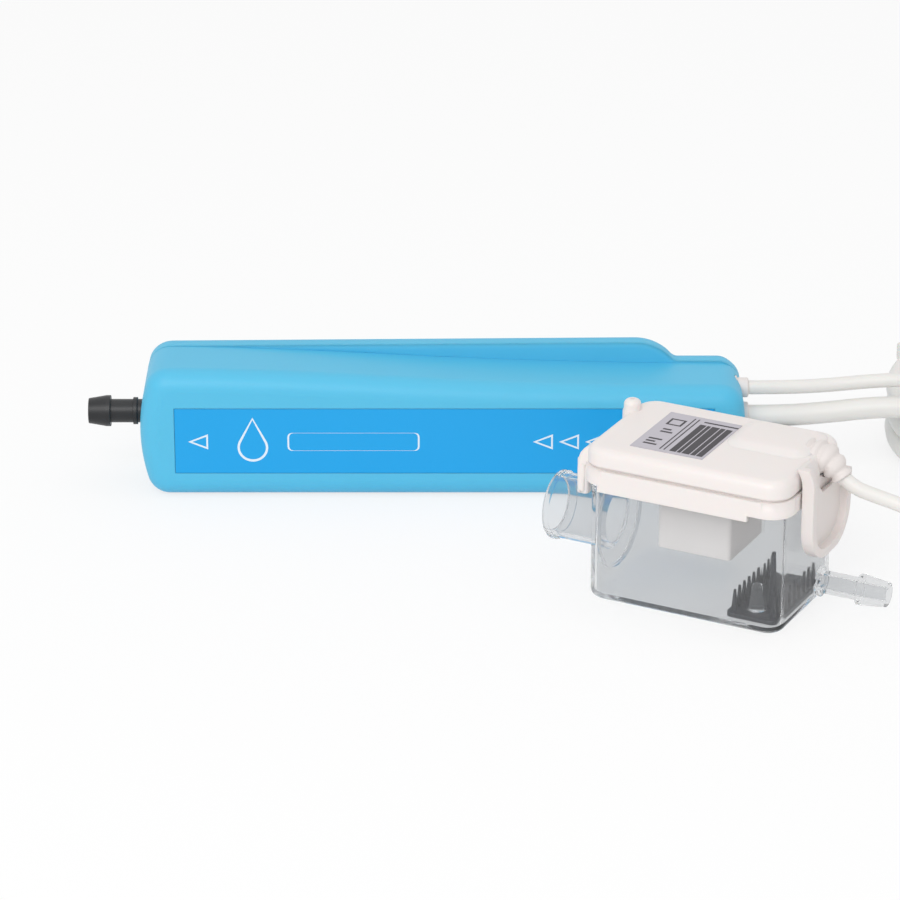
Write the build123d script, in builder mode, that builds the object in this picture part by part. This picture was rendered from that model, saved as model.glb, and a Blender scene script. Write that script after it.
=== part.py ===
"""Mini condensate pump with its float reservoir.

A slim casing holds an oscillating piston pump on one straight axis.  A clear reservoir with a
float switch stands in front of it, and a thin lead joins the two.  Millimetres, +Z up, +X along
the pump towards its leads, origin in the middle of the pump's flat underside.
"""
import os
from math import cos, pi, radians, sin, tan

from build123d import *

os.makedirs("parts", exist_ok=True)

# ---------------------------------------------------------------- driving dimensions
# Pump casing
case_length = 170.0
case_depth = 28.0
case_height = 37.5            # over the hump, which the back shell carries
hump_drop = 5.0               # from the hump down to the shoulder at the lead end
case_wall = 2.0
case_back_depth = 6.5         # depth of the back shell, behind the parting plane
end_bulge_left = 3.5          # how far the outlet end bows out
end_bulge_right = 1.6
corner_radius = 6.5           # corners of the casing seen from the front
front_radius = 5.5            # rounding round the front face
back_radius = 2.5
hump_slope_start = 59.5       # where the hump's top would break downwards, from mid length
hump_slope_run = 5.8
hump_top_radius = 14.0
hump_foot_radius = 3.5
shoulder_start = -76.0        # the front shell's top leaves the full height here
shoulder_mid_drop = 3.0

# Pump axis and fittings
axis_share = 0.56             # height of the axis, as a share of the casing's
inlet_y = -3.0
inlet_below_mains = 8.5
barb_length = 15.0            # from the casing's end to the tip
barb_tip_radius = 3.55
barb_radius = 4.4
barb_land = 1.2
barb_nose = 5.0
shank_radius = 3.33
barb_collar_radius = 3.85
barb_collar_width = 1.2
nipple_end = 73.0             # inner end of the inlet barb's stem
barb_bore_radius = 2.0
flange_radius = 4.3
flange_thickness = 1.7
wall_hole_clearance = 0.08
seat_gap = 0.05               # between faces that are seated on each other

# Pump core, set out along the axis
stem_end = -76.0              # inner end of the outlet barb's stem
head_start = -79.0
head_wall = 1.5               # round the pump tube's end
valve_room_start = -74.0
valve_room_radius = 4.5
seat_thickness = 2.0
seat_hole_radius = 2.0
tube_start = -60.0
tube_end = 40.0
tube_wall = 1.0
tube_fit = 0.03
head_socket_depth = 4.0
seal_start = -44.0
seal_thickness = 4.0
plunger_share = 1 / 2.2       # of the tube's bore
plunger_fit = 0.05
plunger_tip = -48.0
armature_start = -27.0
armature_end = 5.0
armature_fit = 0.06
plunger_bore_share = 0.56     # of the plunger
armature_groove = 0.7

# Solenoid
bobbin_start = -36.0
bobbin_end = 14.0
bobbin_wall = 0.9
bobbin_flange = 1.5
winding_depth = 2.5           # from the tube to the flanges' rims
winding_inset = 0.3           # the winding's depth below the flanges' rims
yoke_thickness = 1.4
yoke_clearance = 1.05         # between the yoke and the casing's top wall
yoke_slot = 2.0               # how far past each plate the hole for the tube is cut

# Inlet end cap of the core
cap_spigot = 3.0
cap_flange = 4.0
cap_nozzle = 7.0
cap_nozzle_radius = 3.0
cap_bore_radius = 1.5
valve_disc_radius = 2.8
valve_disc = 1.2
cap_valve_room_radius = 3.4
cap_valve_room = 5.0
retainer = 1.0
retainer_hole_radius = 2.0

# Springs
valve_spring_radius = 2.2
valve_spring_wire = 0.35
core_spring_gap = 1.2         # from the bore to the middle of the wire
core_spring_wire = 0.6
valve_spring_turns = 4
core_spring_turns = 5

# Foam mounts, board and screws
foam_thickness = 8.0
foam_left_x = -74.3
foam_right_x = 22.0
foam_left_clearance = 1.5     # under the casing's top wall
foam_right_clearance = 2.0
foam_corner = 2.0
foam_fit = 0.05
board_start = 43.0
board_end = 74.0
board_low = 5.0
board_below_top = 5.5         # from the casing's low top
board_thickness = 1.6
board_gap = 2.2               # from the back wall to the board
post_radius = 1.3
post_inset = 3.0
component_rise = 2.4
component_corner = 0.5
screw_radius = 1.4
screw_head_radius = 2.5
screw_head = 2.0
screw_inset_x = 7.0
screw_low_right_x = 36.0      # short of the suction hose
screw_inset_low = 6.0
screw_inset_high = 5.5
screw_bite = 9.0
boss_radius = 2.6
screw_sink = 2.4              # the screw heads lie this deep in the back shell

# Suction hose between the core and the inlet barb
hose_wall = 1.3
hose_straight = 4.0
hose_bend = 13.0

# Leads
mains_diameter = 6.2
sensor_diameter = 4.0
mains_y = 0.0
sensor_y = 2.0
sensor_below_top = 5.2        # from the casing's low top
gland_pitch = 7.8             # height between the two leads
lead_straight = 10.8          # how far each lead runs straight out of its gland
gland_stand = 1.2             # the glands' collars stand this far out of the casing
gland_flange = 1.5
gland_flange_step = 0.45
gland_wall = 0.9
core_radius = 1.1
core_length = 14.0
core_bare_radius = 0.6
core_bare_length = 6.0
core_spread = 1.35

# Coils that put the leads' length away
coil_x, coil_y = 171.5, 21.0
coil_foot = 1.4               # the ties' straps lie below the turns
coil_outer_radius = 45.0
mains_coil_width = 7.0
mains_coil_height = 25.0
coil_gap = 0.3
sensor_coil_width = 8.4
sensor_coil_height = 24.4
coil_edge_radius = 2.4
tie_width = 4.0
tie_thickness = 1.1
tie_gap = 0.2
tie_corner = 2.2
tie_head_depth = 3.6
tie_head_length = 5.2
tie_head_width = 5.4
tie_head_corner = 0.7
tie_angles = (140.0, 320.0)

# Label panel
panel_left = -75.0
panel_right = 75.8
panel_low = 7.8
panel_below_top = 5.3
panel_depth = 0.4
panel_gap = 0.1

# Reservoir, in its own directions: u along it, v across it, w up
reservoir_x, reservoir_y = 37.8, -80.2
reservoir_yaw = 27.5
tank_length = 56.0
tank_width = 38.0
tank_height = 36.6
tank_wall = 1.6
tank_floor = 1.8
tank_corner = 5.0
tank_foot_radius = 2.4
spout_off_middle = 2.0        # towards the front
spout_w = 17.5
spout_radius = 9.0
spout_bore_radius = 7.4
spout_length = 16.8
spout_bead = 0.5
spout_bead_width = 2.0
spout_ring_radius = 13.8
spout_ring_width = 0.9
spout_ring_depth = 0.9
drain_inset = 10.0            # from the tank's back
drain_w = 5.4
drain_length = 19.5
drain_head = 8.0
drain_land = 1.2
drain_radius = 4.2
drain_tip_radius = 3.3
drain_shank_radius = 3.1
drain_bore_radius = 1.8
drain_root = 1.0              # how far the barb's root is stepped out
drain_root_taper = 0.6
filter_post_shift = 0.5       # from the filter's middle towards the float
filter_post_v = 8.6
filter_post_radius = 2.2
filter_post_top_radius = 1.3
filter_post_height = 8.4

# Lid
lid_gap = 0.3                 # round the tank's wall
skirt_wall = 1.3
skirt_drop = 2.8              # below the tank's rim
apron_drop = 4.5              # the deeper stretch of the skirt along both sides
apron_start = 4.0
apron_end_inset = 9.0
lid_plate = 1.5
gasket_thickness = 0.7
gasket_width = 1.3
cover_inset = 0.45
cover_height = 5.2
cover_wall = 1.5
cover_radius = 2.6
ridge_length = 21.0
ridge_width = 12.0
ridge_end_inset = 2.0
ridge_back_inset = 2.5
ridge_rise = 1.3
ridge_corner = 2.0
ridge_edge_radius = 0.9
hook_inset = 5.0
hook_width = 3.6
hook_thickness = 2.2
hook_drop = 8.0
hook_corner = 1.0
vent_u = -0.2
vent_inset = 9.0
vent_radius = 2.1
vent_rise = 3.2               # above the lid
vent_bore_radius = 0.9
vent_edge_radius = 1.0

# Cable grommet on the lid
grommet_inset = 12.0          # from the tank's back
grommet_rise = 2.4            # above the lid's seam
grommet_radius = 4.3
grommet_groove = 0.7
grommet_inner = 5.0           # how far it reaches in from the tank's end
grommet_outer = 5.4           # how far it stands out of the lid
grommet_rib = 1.3
grommet_ribs = 4
grommet_gap = 0.08
grommet_straight = 8.0        # how far the lead runs straight out of it

# Thumb latch
latch_start_v = 2.5
latch_end_inset = 4.5
latch_height = 22.0
latch_below_lead = 0.2
latch_gap = 0.45
latch_plate = 1.2
latch_rim = 2.4
latch_rim_rise = 2.2
latch_corner = 9.0
latch_notch_gap = 1.2

# Sensor stem, float and filter
stem_radius = 3.0
stem_reach = 3.1              # below the float
float_share = 0.375           # of the tank's length
float_side_room = 8.0         # from the float to the tank's faces, front and back
float_height = 17.0
float_low = 15.5
float_clearance = 0.1
float_corner = 1.2
magnet_radius = 6.0
magnet_height = 3.0
magnet_rise = 3.0             # above the float's underside
clip_radius = 4.6
clip_thickness = 1.2
clip_groove = 0.7
sensor_board_length = 22.0
sensor_board_width = 16.0
sensor_board_thickness = 1.2
sensor_board_corner = 1.0
reed_corner = 0.5
filter_share = 0.25           # of the tank's length
filter_end_gap = 0.6          # from the tank's inner face
filter_near = 3.2
filter_far_inset = 5.0
filter_corner = 1.5
filter_plate = 1.2
filter_lift = 0.2
filter_tooth = 1.5
filter_tooth_height = 7.0
filter_pitch = 3.1
filter_tooth_taper = 4.0      # degrees
filter_spike_share = 0.3      # of the filter's length, from its outer edge
filter_spike_v = 11.6
filter_spike_height = 17.0
filter_spike_radius = 1.5
filter_spike_taper = 3.0      # degrees
filter_post_gap = 0.3
label_start_u = 12.0
label_ridge_gap = 3.0
label_start_v = 5.2
label_back_inset = 7.0
label_thickness = 0.2

# ---------------------------------------------------------------- places worked out from them
half_length = case_length / 2
front_y = -case_depth / 2
back_y = case_depth / 2
split_y = back_y - case_back_depth
case_low_height = case_height - hump_drop
inlet_wall_x = half_length - case_wall
gland_face_x = half_length + gland_stand
axis_z = axis_share * case_height
sensor_z = case_low_height - sensor_below_top
mains_z = sensor_z - gland_pitch
inlet_z = mains_z - inlet_below_mains
panel_high = case_low_height - panel_below_top
board_high = case_low_height - board_below_top

# The core fills the room between the axis and the casing's top wall
core_room = case_height - shoulder_mid_drop - case_wall - axis_z
bobbin_flange_radius = core_room - yoke_clearance - yoke_thickness - seat_gap
tube_radius = bobbin_flange_radius - winding_depth
tube_bore_radius = tube_radius - tube_wall
seat_x = tube_start - seat_thickness
armature_radius = tube_bore_radius - armature_fit
plunger_radius = tube_bore_radius * plunger_share
armature_bore_radius = plunger_radius * plunger_bore_share
core_spring_radius = tube_bore_radius - core_spring_gap
head_radius = tube_radius + head_wall
foam_left_height = 2 * (case_height - case_wall - axis_z - foam_left_clearance)
foam_right_height = 2 * (core_room - foam_right_clearance)

lid_outset = lid_gap + skirt_wall
plate_low = tank_height + gasket_thickness
seam_w = plate_low + lid_plate
skirt_low = tank_height - skirt_drop
apron_low = tank_height - apron_drop
apron_end = tank_length - apron_end_inset
hook_low = tank_height - hook_drop
hook_places = (hook_inset, tank_width - hook_inset)
cover_top = seam_w + cover_height
ridge_end = tank_length - ridge_end_inset
ridge_start = ridge_end - ridge_length
ridge_back = tank_width - ridge_back_inset
ridge_front = ridge_back - ridge_width
label_end_u = ridge_start - label_ridge_gap
label_end_v = tank_width - label_back_inset
vent_v = tank_width - vent_inset
vent_top = cover_top + vent_rise
grommet_v = tank_width - grommet_inset
grommet_w = seam_w + grommet_rise
grommet_start = tank_length - grommet_inner
grommet_end = tank_length + lid_outset + grommet_outer
latch_u = tank_length + lid_outset + latch_gap
latch_end_v = tank_width - latch_end_inset
latch_high = grommet_w - latch_below_lead
latch_low = latch_high - latch_height
spout_v = tank_width / 2 - spout_off_middle
drain_v = tank_width - drain_inset
stem_u = tank_length / 2
stem_v = tank_width / 2
stem_low = float_low - stem_reach
float_length = float_share * tank_length
float_width = tank_width - 2 * float_side_room
filter_length = filter_share * tank_length
filter_end = tank_length - tank_wall - filter_end_gap
filter_start = filter_end - filter_length
filter_far = tank_width - filter_far_inset
filter_post_u = (filter_start + filter_end) / 2 - filter_post_shift
filter_spike_u = filter_end - filter_spike_share * filter_length

# Parts on the circuit board: across and up from its corner, then their width and height
board_parts = [(7.0, 6.0, 9.0, 8.0), (25.0, 17.0, 8.0, 6.0), (26.0, 4.0, 6.0, 4.0)]

reservoir = Plane(
    origin=(reservoir_x, reservoir_y, 0),
    x_dir=(cos(radians(reservoir_yaw)), -sin(radians(reservoir_yaw)), 0),
    z_dir=(0, 0, 1),
)


def level(w, u=0.0, v=0.0):
    """A plane flat across the reservoir at height w."""
    return Plane(
        origin=reservoir.from_local_coords((u, v, w)), x_dir=reservoir.x_dir, z_dir=(0, 0, 1)
    )


def across(u, v=0.0, w=0.0):
    """A plane square to the reservoir's length.  Its x runs along v, its y upwards."""
    return Plane(
        origin=reservoir.from_local_coords((u, v, w)),
        x_dir=reservoir.y_dir,
        z_dir=reservoir.x_dir,
    )


def side_on(v, u=0.0, w=0.0):
    """A plane square to the reservoir's width.  Its x runs along u, its y upwards."""
    return Plane(
        origin=reservoir.from_local_coords((u, v, w)),
        x_dir=reservoir.x_dir,
        z_dir=-reservoir.y_dir,
    )


def pump_end(x, y=0.0, z=axis_z):
    """A plane square to the pump's axis, facing +X."""
    return Plane(origin=(x, y, z), x_dir=(0, 1, 0), z_dir=(1, 0, 0))


# The plane that holds the pump's axis: x along the pump, y up from the axis
axis_plane = Plane(origin=(0, 0, axis_z), x_dir=(1, 0, 0), z_dir=(0, -1, 0))


def save(piece, name):
    """Label a finished piece and write it as its own STEP file."""
    piece.part.label = name
    export_step(piece.part, f"parts/{name}.step")


# ---------------------------------------------------------------- casing outlines, seen from the front
def end_arcs(left_high, right_high, inset):
    """The two bowed ends of the casing, as arcs that start and end at the given heights."""
    left_x = -half_length + inset
    right_x = half_length - inset
    left = ThreePointArc(
        (left_x + end_bulge_left, inset),
        (left_x, left_high / 2),
        (left_x + end_bulge_left, left_high - inset),
    )
    right = ThreePointArc(
        (right_x - end_bulge_right, inset),
        (right_x, right_high / 2),
        (right_x - end_bulge_right, right_high - inset),
    )
    return left, right


def round_corners(outline, inset):
    """Round the casing's four corners, as seen from the front."""
    corners = outline.vertices().filter_by(lambda v: abs(v.X) > half_length - corner_radius)
    fillet(corners, radius=corner_radius - inset)


def front_outline(inset):
    """The front shell's outline, whose top sinks gently towards the lead end."""
    with BuildSketch(Plane.XZ.offset(-split_y)) as outline:
        with BuildLine():
            left, right = end_arcs(case_height, case_low_height, inset)
            level_top = Line(left @ 1, (shoulder_start, case_height - inset))
            Spline(
                level_top @ 1,
                (0, case_height - shoulder_mid_drop - inset),
                right @ 1,
                tangents=((1, 0), (1, 0)),
            )
            Line(left @ 0, right @ 0)
        make_face()
        round_corners(outline, inset)
    return outline


def back_outline():
    """The back shell's outline, with the full-height hump and its step down."""
    with BuildSketch(Plane.XZ.offset(-split_y)) as outline:
        with BuildLine():
            left, right = end_arcs(case_height, case_low_height, 0)
            FilletPolyline(
                left @ 1,
                (hump_slope_start, case_height),
                (hump_slope_start + hump_slope_run, case_low_height),
                right @ 1,
                radius=[hump_top_radius, hump_foot_radius],
            )
            Line(left @ 0, right @ 0)
        make_face()
        round_corners(outline, 0)
    return outline


screw_places = [
    (-half_length + screw_inset_x, screw_inset_low),
    (-half_length + screw_inset_x, case_height - screw_inset_high),
    (screw_low_right_x, screw_inset_low),
    (half_length - screw_inset_x, case_low_height - screw_inset_high),
]
mains_gland_radius = mains_diameter / 2 + gland_wall
sensor_gland_radius = sensor_diameter / 2 + gland_wall
shank_hole_radius = shank_radius + wall_hole_clearance
# Each hole through an end wall: which end, y, z, its radius, and the flange that seats inside it
wall_holes = [
    (-1, 0.0, axis_z, shank_hole_radius, flange_radius, flange_thickness),
    (1, inlet_y, inlet_z, shank_hole_radius, flange_radius, flange_thickness),
    (1, mains_y, mains_z, mains_gland_radius, mains_gland_radius + gland_flange_step, gland_flange),
    (1, sensor_y, sensor_z, sensor_gland_radius, sensor_gland_radius + gland_flange_step, gland_flange),
]
front_face = front_outline(0).sketch
front_cavity = front_outline(case_wall).sketch
back_face = back_outline().sketch

with BuildPart() as casing_front:
    extrude(front_face, amount=split_y - front_y)
    fillet(casing_front.faces().sort_by(Axis.Y)[0].edges(), radius=front_radius)
    extrude(front_cavity, amount=split_y - front_y - case_wall, mode=Mode.SUBTRACT)
    # Screw bosses stand on the inside of the front wall
    with BuildSketch(Plane.XZ.offset(-split_y)):
        with Locations(*screw_places):
            Circle(boss_radius)
    extrude(amount=split_y - front_y - case_wall)
    with BuildSketch(Plane.XZ.offset(-split_y)):
        with Locations(*screw_places):
            Circle(screw_radius)
    extrude(amount=screw_bite + seat_gap, mode=Mode.SUBTRACT)
    # Fittings and glands pass through the end walls
    for end, hole_y, hole_z, hole_radius, seat_radius, seat_depth in wall_holes:
        with BuildSketch(pump_end(end * half_length, hole_y, hole_z)):
            Circle(hole_radius)
        extrude(amount=case_wall * 2, both=True, mode=Mode.SUBTRACT)
        # A flat seat for the flange, sunk into the bowed wall
        with BuildSketch(pump_end(end * inlet_wall_x, hole_y, hole_z)):
            Circle(seat_radius + seat_gap)
        extrude(amount=-end * (seat_depth + 2 * seat_gap), mode=Mode.SUBTRACT)
    # Pocket for the label panel
    with BuildSketch(Plane.XZ.offset(-front_y)):
        with Locations(((panel_left + panel_right) / 2, (panel_low + panel_high) / 2)):
            Rectangle(panel_right - panel_left + 2 * panel_gap, panel_high - panel_low + 2 * panel_gap)
    extrude(amount=-panel_depth, mode=Mode.SUBTRACT)
save(casing_front, "casing_front")

with BuildPart() as casing_back:
    extrude(back_face, amount=-case_back_depth)
    fillet(casing_back.faces().sort_by(Axis.Y)[-1].edges(), radius=back_radius)
    extrude(front_cavity, amount=-(case_back_depth - case_wall), mode=Mode.SUBTRACT)
    # Screw bosses, bored through, with sunk seats for the heads
    with BuildSketch(Plane.XZ.offset(-split_y)):
        with Locations(*screw_places):
            Circle(boss_radius)
    extrude(amount=-(case_back_depth - case_wall / 2))
    with BuildSketch(Plane.XZ.offset(-back_y)):
        with Locations(*screw_places):
            Circle(screw_radius + seat_gap)
    extrude(amount=case_back_depth, mode=Mode.SUBTRACT)
    with BuildSketch(Plane.XZ.offset(-back_y)):
        with Locations(*screw_places):
            Circle(screw_head_radius + seat_gap)
    extrude(amount=screw_sink + screw_head, mode=Mode.SUBTRACT)
    # Posts that carry the circuit board
    with BuildSketch(Plane.XZ.offset(-(back_y - case_wall - board_gap))):
        with Locations(((board_start + board_end) / 2, (board_low + board_high) / 2)):
            with GridLocations(
                board_end - board_start - 2 * post_inset, board_high - board_low - 2 * post_inset, 2, 2
            ):
                Circle(post_radius)
    extrude(amount=-(board_gap + case_wall / 2))
save(casing_back, "casing_back")

with BuildPart() as casing_screws:
    with BuildSketch(Plane.XZ.offset(-(back_y - screw_sink))):
        with Locations(*screw_places):
            Circle(screw_head_radius)
    extrude(amount=screw_head)
    with BuildSketch(Plane.XZ.offset(-(back_y - screw_sink - screw_head))):
        with Locations(*screw_places):
            Circle(screw_radius)
    extrude(amount=case_back_depth - screw_sink - screw_head + screw_bite)
save(casing_screws, "casing_screws")

with BuildPart() as label_panel:
    with BuildSketch(Plane.XZ.offset(-front_y)):
        with Locations(((panel_left + panel_right) / 2, (panel_low + panel_high) / 2)):
            Rectangle(panel_right - panel_left, panel_high - panel_low)
    extrude(amount=-panel_depth)
save(label_panel, "label_panel")


# ---------------------------------------------------------------- hose barbs and glands
def barb(direction, y, z, inner_end):
    """A hose barb through an end wall.  direction is +1 at the lead end, -1 at the outlet."""
    wall_face = half_length - case_wall
    tip = half_length + barb_length
    with BuildPart() as fitting:
        with BuildSketch(Plane(origin=(0, y, z), x_dir=(direction, 0, 0), z_dir=(0, -direction, 0))):
            with BuildLine():
                Polyline(
                    (tip, barb_bore_radius),
                    (tip, barb_tip_radius),
                    (tip - barb_nose, barb_radius),
                    (tip - barb_nose - barb_land, barb_radius),
                    (tip - barb_nose - barb_land, shank_radius),
                    (half_length + barb_collar_width * 2, shank_radius),
                    (half_length + barb_collar_width * 2, barb_collar_radius),
                    (half_length + barb_collar_width, barb_collar_radius),
                    (half_length + barb_collar_width, shank_radius),
                    (wall_face - seat_gap, shank_radius),
                    (wall_face - seat_gap, flange_radius),
                    (wall_face - seat_gap - flange_thickness, flange_radius),
                    (wall_face - seat_gap - flange_thickness, shank_radius),
                    (inner_end, shank_radius),
                    (inner_end, barb_bore_radius),
                    close=True,
                )
            make_face()
        revolve(axis=Axis((0, y, z), (1, 0, 0)))
    return fitting


outlet_barb = barb(-1, 0.0, axis_z, -stem_end)
save(outlet_barb, "outlet_barb")

inlet_barb = barb(1, inlet_y, inlet_z, nipple_end)
save(inlet_barb, "inlet_barb")


def gland(y, z, lead_radius):
    """A rubber gland in the end wall, with a flange inside and a collar outside."""
    with BuildPart() as piece:
        with BuildSketch(pump_end(inlet_wall_x - gland_flange - seat_gap, y, z)):
            Circle(lead_radius + gland_wall + gland_flange_step)
        extrude(amount=gland_flange)
        with BuildSketch(pump_end(inlet_wall_x - gland_flange - seat_gap, y, z)):
            Circle(lead_radius + gland_wall - wall_hole_clearance)
        extrude(amount=gland_flange + seat_gap + case_wall + gland_stand)
        fillet(piece.faces().sort_by(Axis.X)[-1].edges(), radius=gland_wall / 2)
    return piece


mains_gland = gland(mains_y, mains_z, mains_diameter / 2)
save(mains_gland, "mains_gland")
sensor_gland = gland(sensor_y, sensor_z, sensor_diameter / 2)
save(sensor_gland, "sensor_gland")

# ---------------------------------------------------------------- pump core
with BuildPart() as valve_head:
    with BuildSketch(axis_plane):
        with BuildLine():
            Polyline(
                (head_start, shank_radius + wall_hole_clearance),
                (head_start, head_radius - 1),
                (head_start + 1, head_radius),
                (tube_start + head_socket_depth, head_radius),
                (tube_start + head_socket_depth, tube_radius + tube_fit),
                (tube_start - seat_gap, tube_radius + tube_fit),
                (tube_start - seat_gap, seat_hole_radius),
                (seat_x, seat_hole_radius),
                (seat_x, valve_room_radius),
                (valve_room_start, valve_room_radius),
                (valve_room_start, shank_radius + wall_hole_clearance),
                close=True,
            )
        make_face()
    revolve(axis=Axis((0, 0, axis_z), (1, 0, 0)))
save(valve_head, "valve_head")

with BuildPart() as pump_tube:
    with BuildSketch(pump_end(tube_start)):
        Circle(tube_radius)
        Circle(tube_bore_radius, mode=Mode.SUBTRACT)
    extrude(amount=tube_end - tube_start)
save(pump_tube, "pump_tube")

with BuildPart() as piston_seal:
    with BuildSketch(pump_end(seal_start)):
        Circle(tube_bore_radius - tube_fit)
        Circle(plunger_radius + plunger_fit, mode=Mode.SUBTRACT)
    extrude(amount=seal_thickness)
save(piston_seal, "piston_seal")

with BuildPart() as armature:
    with BuildSketch(axis_plane):
        with BuildLine():
            Polyline(
                (armature_start, armature_bore_radius),
                (armature_start, armature_radius - armature_groove),
                (armature_start + armature_groove, armature_radius),
                (armature_end - armature_groove, armature_radius),
                (armature_end, armature_radius - armature_groove),
                (armature_end, armature_bore_radius),
                close=True,
            )
        make_face()
    revolve(axis=Axis((0, 0, axis_z), (1, 0, 0)))
    # Two flats let the water pass along the armature
    with BuildSketch(pump_end(armature_start)):
        with Locations((armature_radius, 0), (-armature_radius, 0)):
            Rectangle(armature_groove * 2, armature_radius)
    extrude(amount=armature_end - armature_start, mode=Mode.SUBTRACT)
save(armature, "armature")

with BuildPart() as plunger:
    with BuildSketch(pump_end(plunger_tip)):
        Circle(plunger_radius)
        Circle(armature_bore_radius, mode=Mode.SUBTRACT)
    extrude(amount=armature_start - plunger_tip)
save(plunger, "plunger")

with BuildPart() as outlet_valve:
    with BuildSketch(pump_end(seat_x - seat_gap)):
        Circle(valve_disc_radius)
    extrude(amount=-valve_disc)
    with BuildSketch(pump_end(seat_x - seat_gap - valve_disc)):
        Circle(valve_spring_radius - valve_spring_wire * 2)
    extrude(amount=-valve_disc * 2)
save(outlet_valve, "outlet_valve")

cap_face = tube_end - cap_spigot
cap_seat_x = cap_face + cap_valve_room
with BuildPart() as inlet_cap:
    with BuildSketch(axis_plane):
        with BuildLine():
            Polyline(
                (cap_face, cap_valve_room_radius),
                (cap_face, tube_bore_radius - tube_fit),
                (tube_end + seat_gap, tube_bore_radius - tube_fit),
                (tube_end + seat_gap, head_radius),
                (tube_end + cap_flange, head_radius),
                (tube_end + cap_flange, cap_nozzle_radius),
                (tube_end + cap_flange + cap_nozzle, cap_nozzle_radius),
                (tube_end + cap_flange + cap_nozzle, cap_bore_radius),
                (cap_seat_x, cap_bore_radius),
                (cap_seat_x, cap_valve_room_radius),
                close=True,
            )
        make_face()
    revolve(axis=Axis((0, 0, axis_z), (1, 0, 0)))
save(inlet_cap, "inlet_cap")

with BuildPart() as inlet_valve:
    with BuildSketch(pump_end(cap_seat_x - seat_gap)):
        Circle(valve_disc_radius)
    extrude(amount=-valve_disc)
save(inlet_valve, "inlet_valve")

with BuildPart() as valve_retainer:
    with BuildSketch(pump_end(cap_face)):
        Circle(cap_valve_room_radius - tube_fit)
        Circle(retainer_hole_radius, mode=Mode.SUBTRACT)
    extrude(amount=retainer)
save(valve_retainer, "valve_retainer")


def spring(start, end, radius, wire, turns):
    """A compression spring on the pump's axis, with room for its wire at both ends."""
    reach = end - start - 2 * wire - 2 * seat_gap
    with BuildPart() as coil_spring:
        with BuildLine():
            wire_line = Helix(
                pitch=reach / turns, height=reach, radius=radius,
                center=(start + wire + seat_gap, 0, axis_z), direction=(1, 0, 0),
            )
        with BuildSketch(Plane(origin=wire_line @ 0, z_dir=wire_line % 0)):
            RegularPolygon(wire, 6)
        sweep(path=wire_line, is_frenet=True)
    return coil_spring


outlet_spring = spring(
    valve_room_start, seat_x - seat_gap - valve_disc, valve_spring_radius, valve_spring_wire,
    valve_spring_turns,
)
save(outlet_spring, "outlet_spring")
inlet_spring = spring(
    cap_face + retainer, cap_seat_x - seat_gap - valve_disc, valve_spring_radius, valve_spring_wire,
    valve_spring_turns - 2,
)
save(inlet_spring, "inlet_spring")
buffer_spring = spring(
    seal_start + seal_thickness, armature_start, core_spring_radius, core_spring_wire,
    core_spring_turns,
)
save(buffer_spring, "buffer_spring")
main_spring = spring(
    armature_end, cap_face, core_spring_radius, core_spring_wire, core_spring_turns * 2
)
save(main_spring, "main_spring")

# ---------------------------------------------------------------- solenoid
bobbin_bore = tube_radius + tube_fit
with BuildPart() as bobbin:
    with BuildSketch(pump_end(bobbin_start)):
        Circle(bobbin_bore + bobbin_wall)
    extrude(amount=bobbin_end - bobbin_start)
    for flange_x in (bobbin_start, bobbin_end - bobbin_flange):
        with BuildSketch(pump_end(flange_x)):
            Circle(bobbin_flange_radius)
        extrude(amount=bobbin_flange)
    with BuildSketch(pump_end(bobbin_start)):
        Circle(bobbin_bore)
    extrude(amount=bobbin_end - bobbin_start, mode=Mode.SUBTRACT)
save(bobbin, "bobbin")

with BuildPart() as winding:
    with BuildSketch(pump_end(bobbin_start + bobbin_flange)):
        Circle(bobbin_flange_radius - winding_inset)
        Circle(bobbin_bore + bobbin_wall, mode=Mode.SUBTRACT)
    extrude(amount=bobbin_end - bobbin_start - 2 * bobbin_flange)
save(winding, "winding")

yoke_half = bobbin_flange_radius + seat_gap
with BuildPart() as yoke:
    with BuildSketch(Plane.XZ.offset(bobbin_flange_radius)):
        with Locations(((bobbin_start + bobbin_end) / 2, axis_z)):
            RectangleRounded(
                bobbin_end - bobbin_start + 2 * yoke_thickness + 2 * seat_gap,
                2 * (yoke_half + yoke_thickness),
                yoke_thickness,
            )
            Rectangle(
                bobbin_end - bobbin_start + 2 * seat_gap, 2 * yoke_half, mode=Mode.SUBTRACT
            )
    extrude(amount=-2 * bobbin_flange_radius)
    with BuildSketch(pump_end(bobbin_start - yoke_slot * yoke_thickness)):
        Circle(bobbin_bore)
    extrude(amount=bobbin_end - bobbin_start + 2 * yoke_slot * yoke_thickness, mode=Mode.SUBTRACT)
save(yoke, "yoke")


# ---------------------------------------------------------------- foam mounts, hose and board
def foam_mount(x, bore_radius, height):
    """A foam block that grips the core and fills the casing from front to back."""
    with BuildPart() as block:
        with BuildSketch(pump_end(x)):
            RectangleRounded(case_depth - 2 * case_wall - 2 * foam_fit, height, foam_corner)
            Circle(bore_radius + foam_fit, mode=Mode.SUBTRACT)
        extrude(amount=foam_thickness)
    return block


foam_mount_left = foam_mount(foam_left_x, head_radius, foam_left_height)
foam_mount_right = foam_mount(foam_right_x, tube_radius, foam_right_height)
save(foam_mount_left, "foam_mount_left")
save(foam_mount_right, "foam_mount_right")

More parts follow.
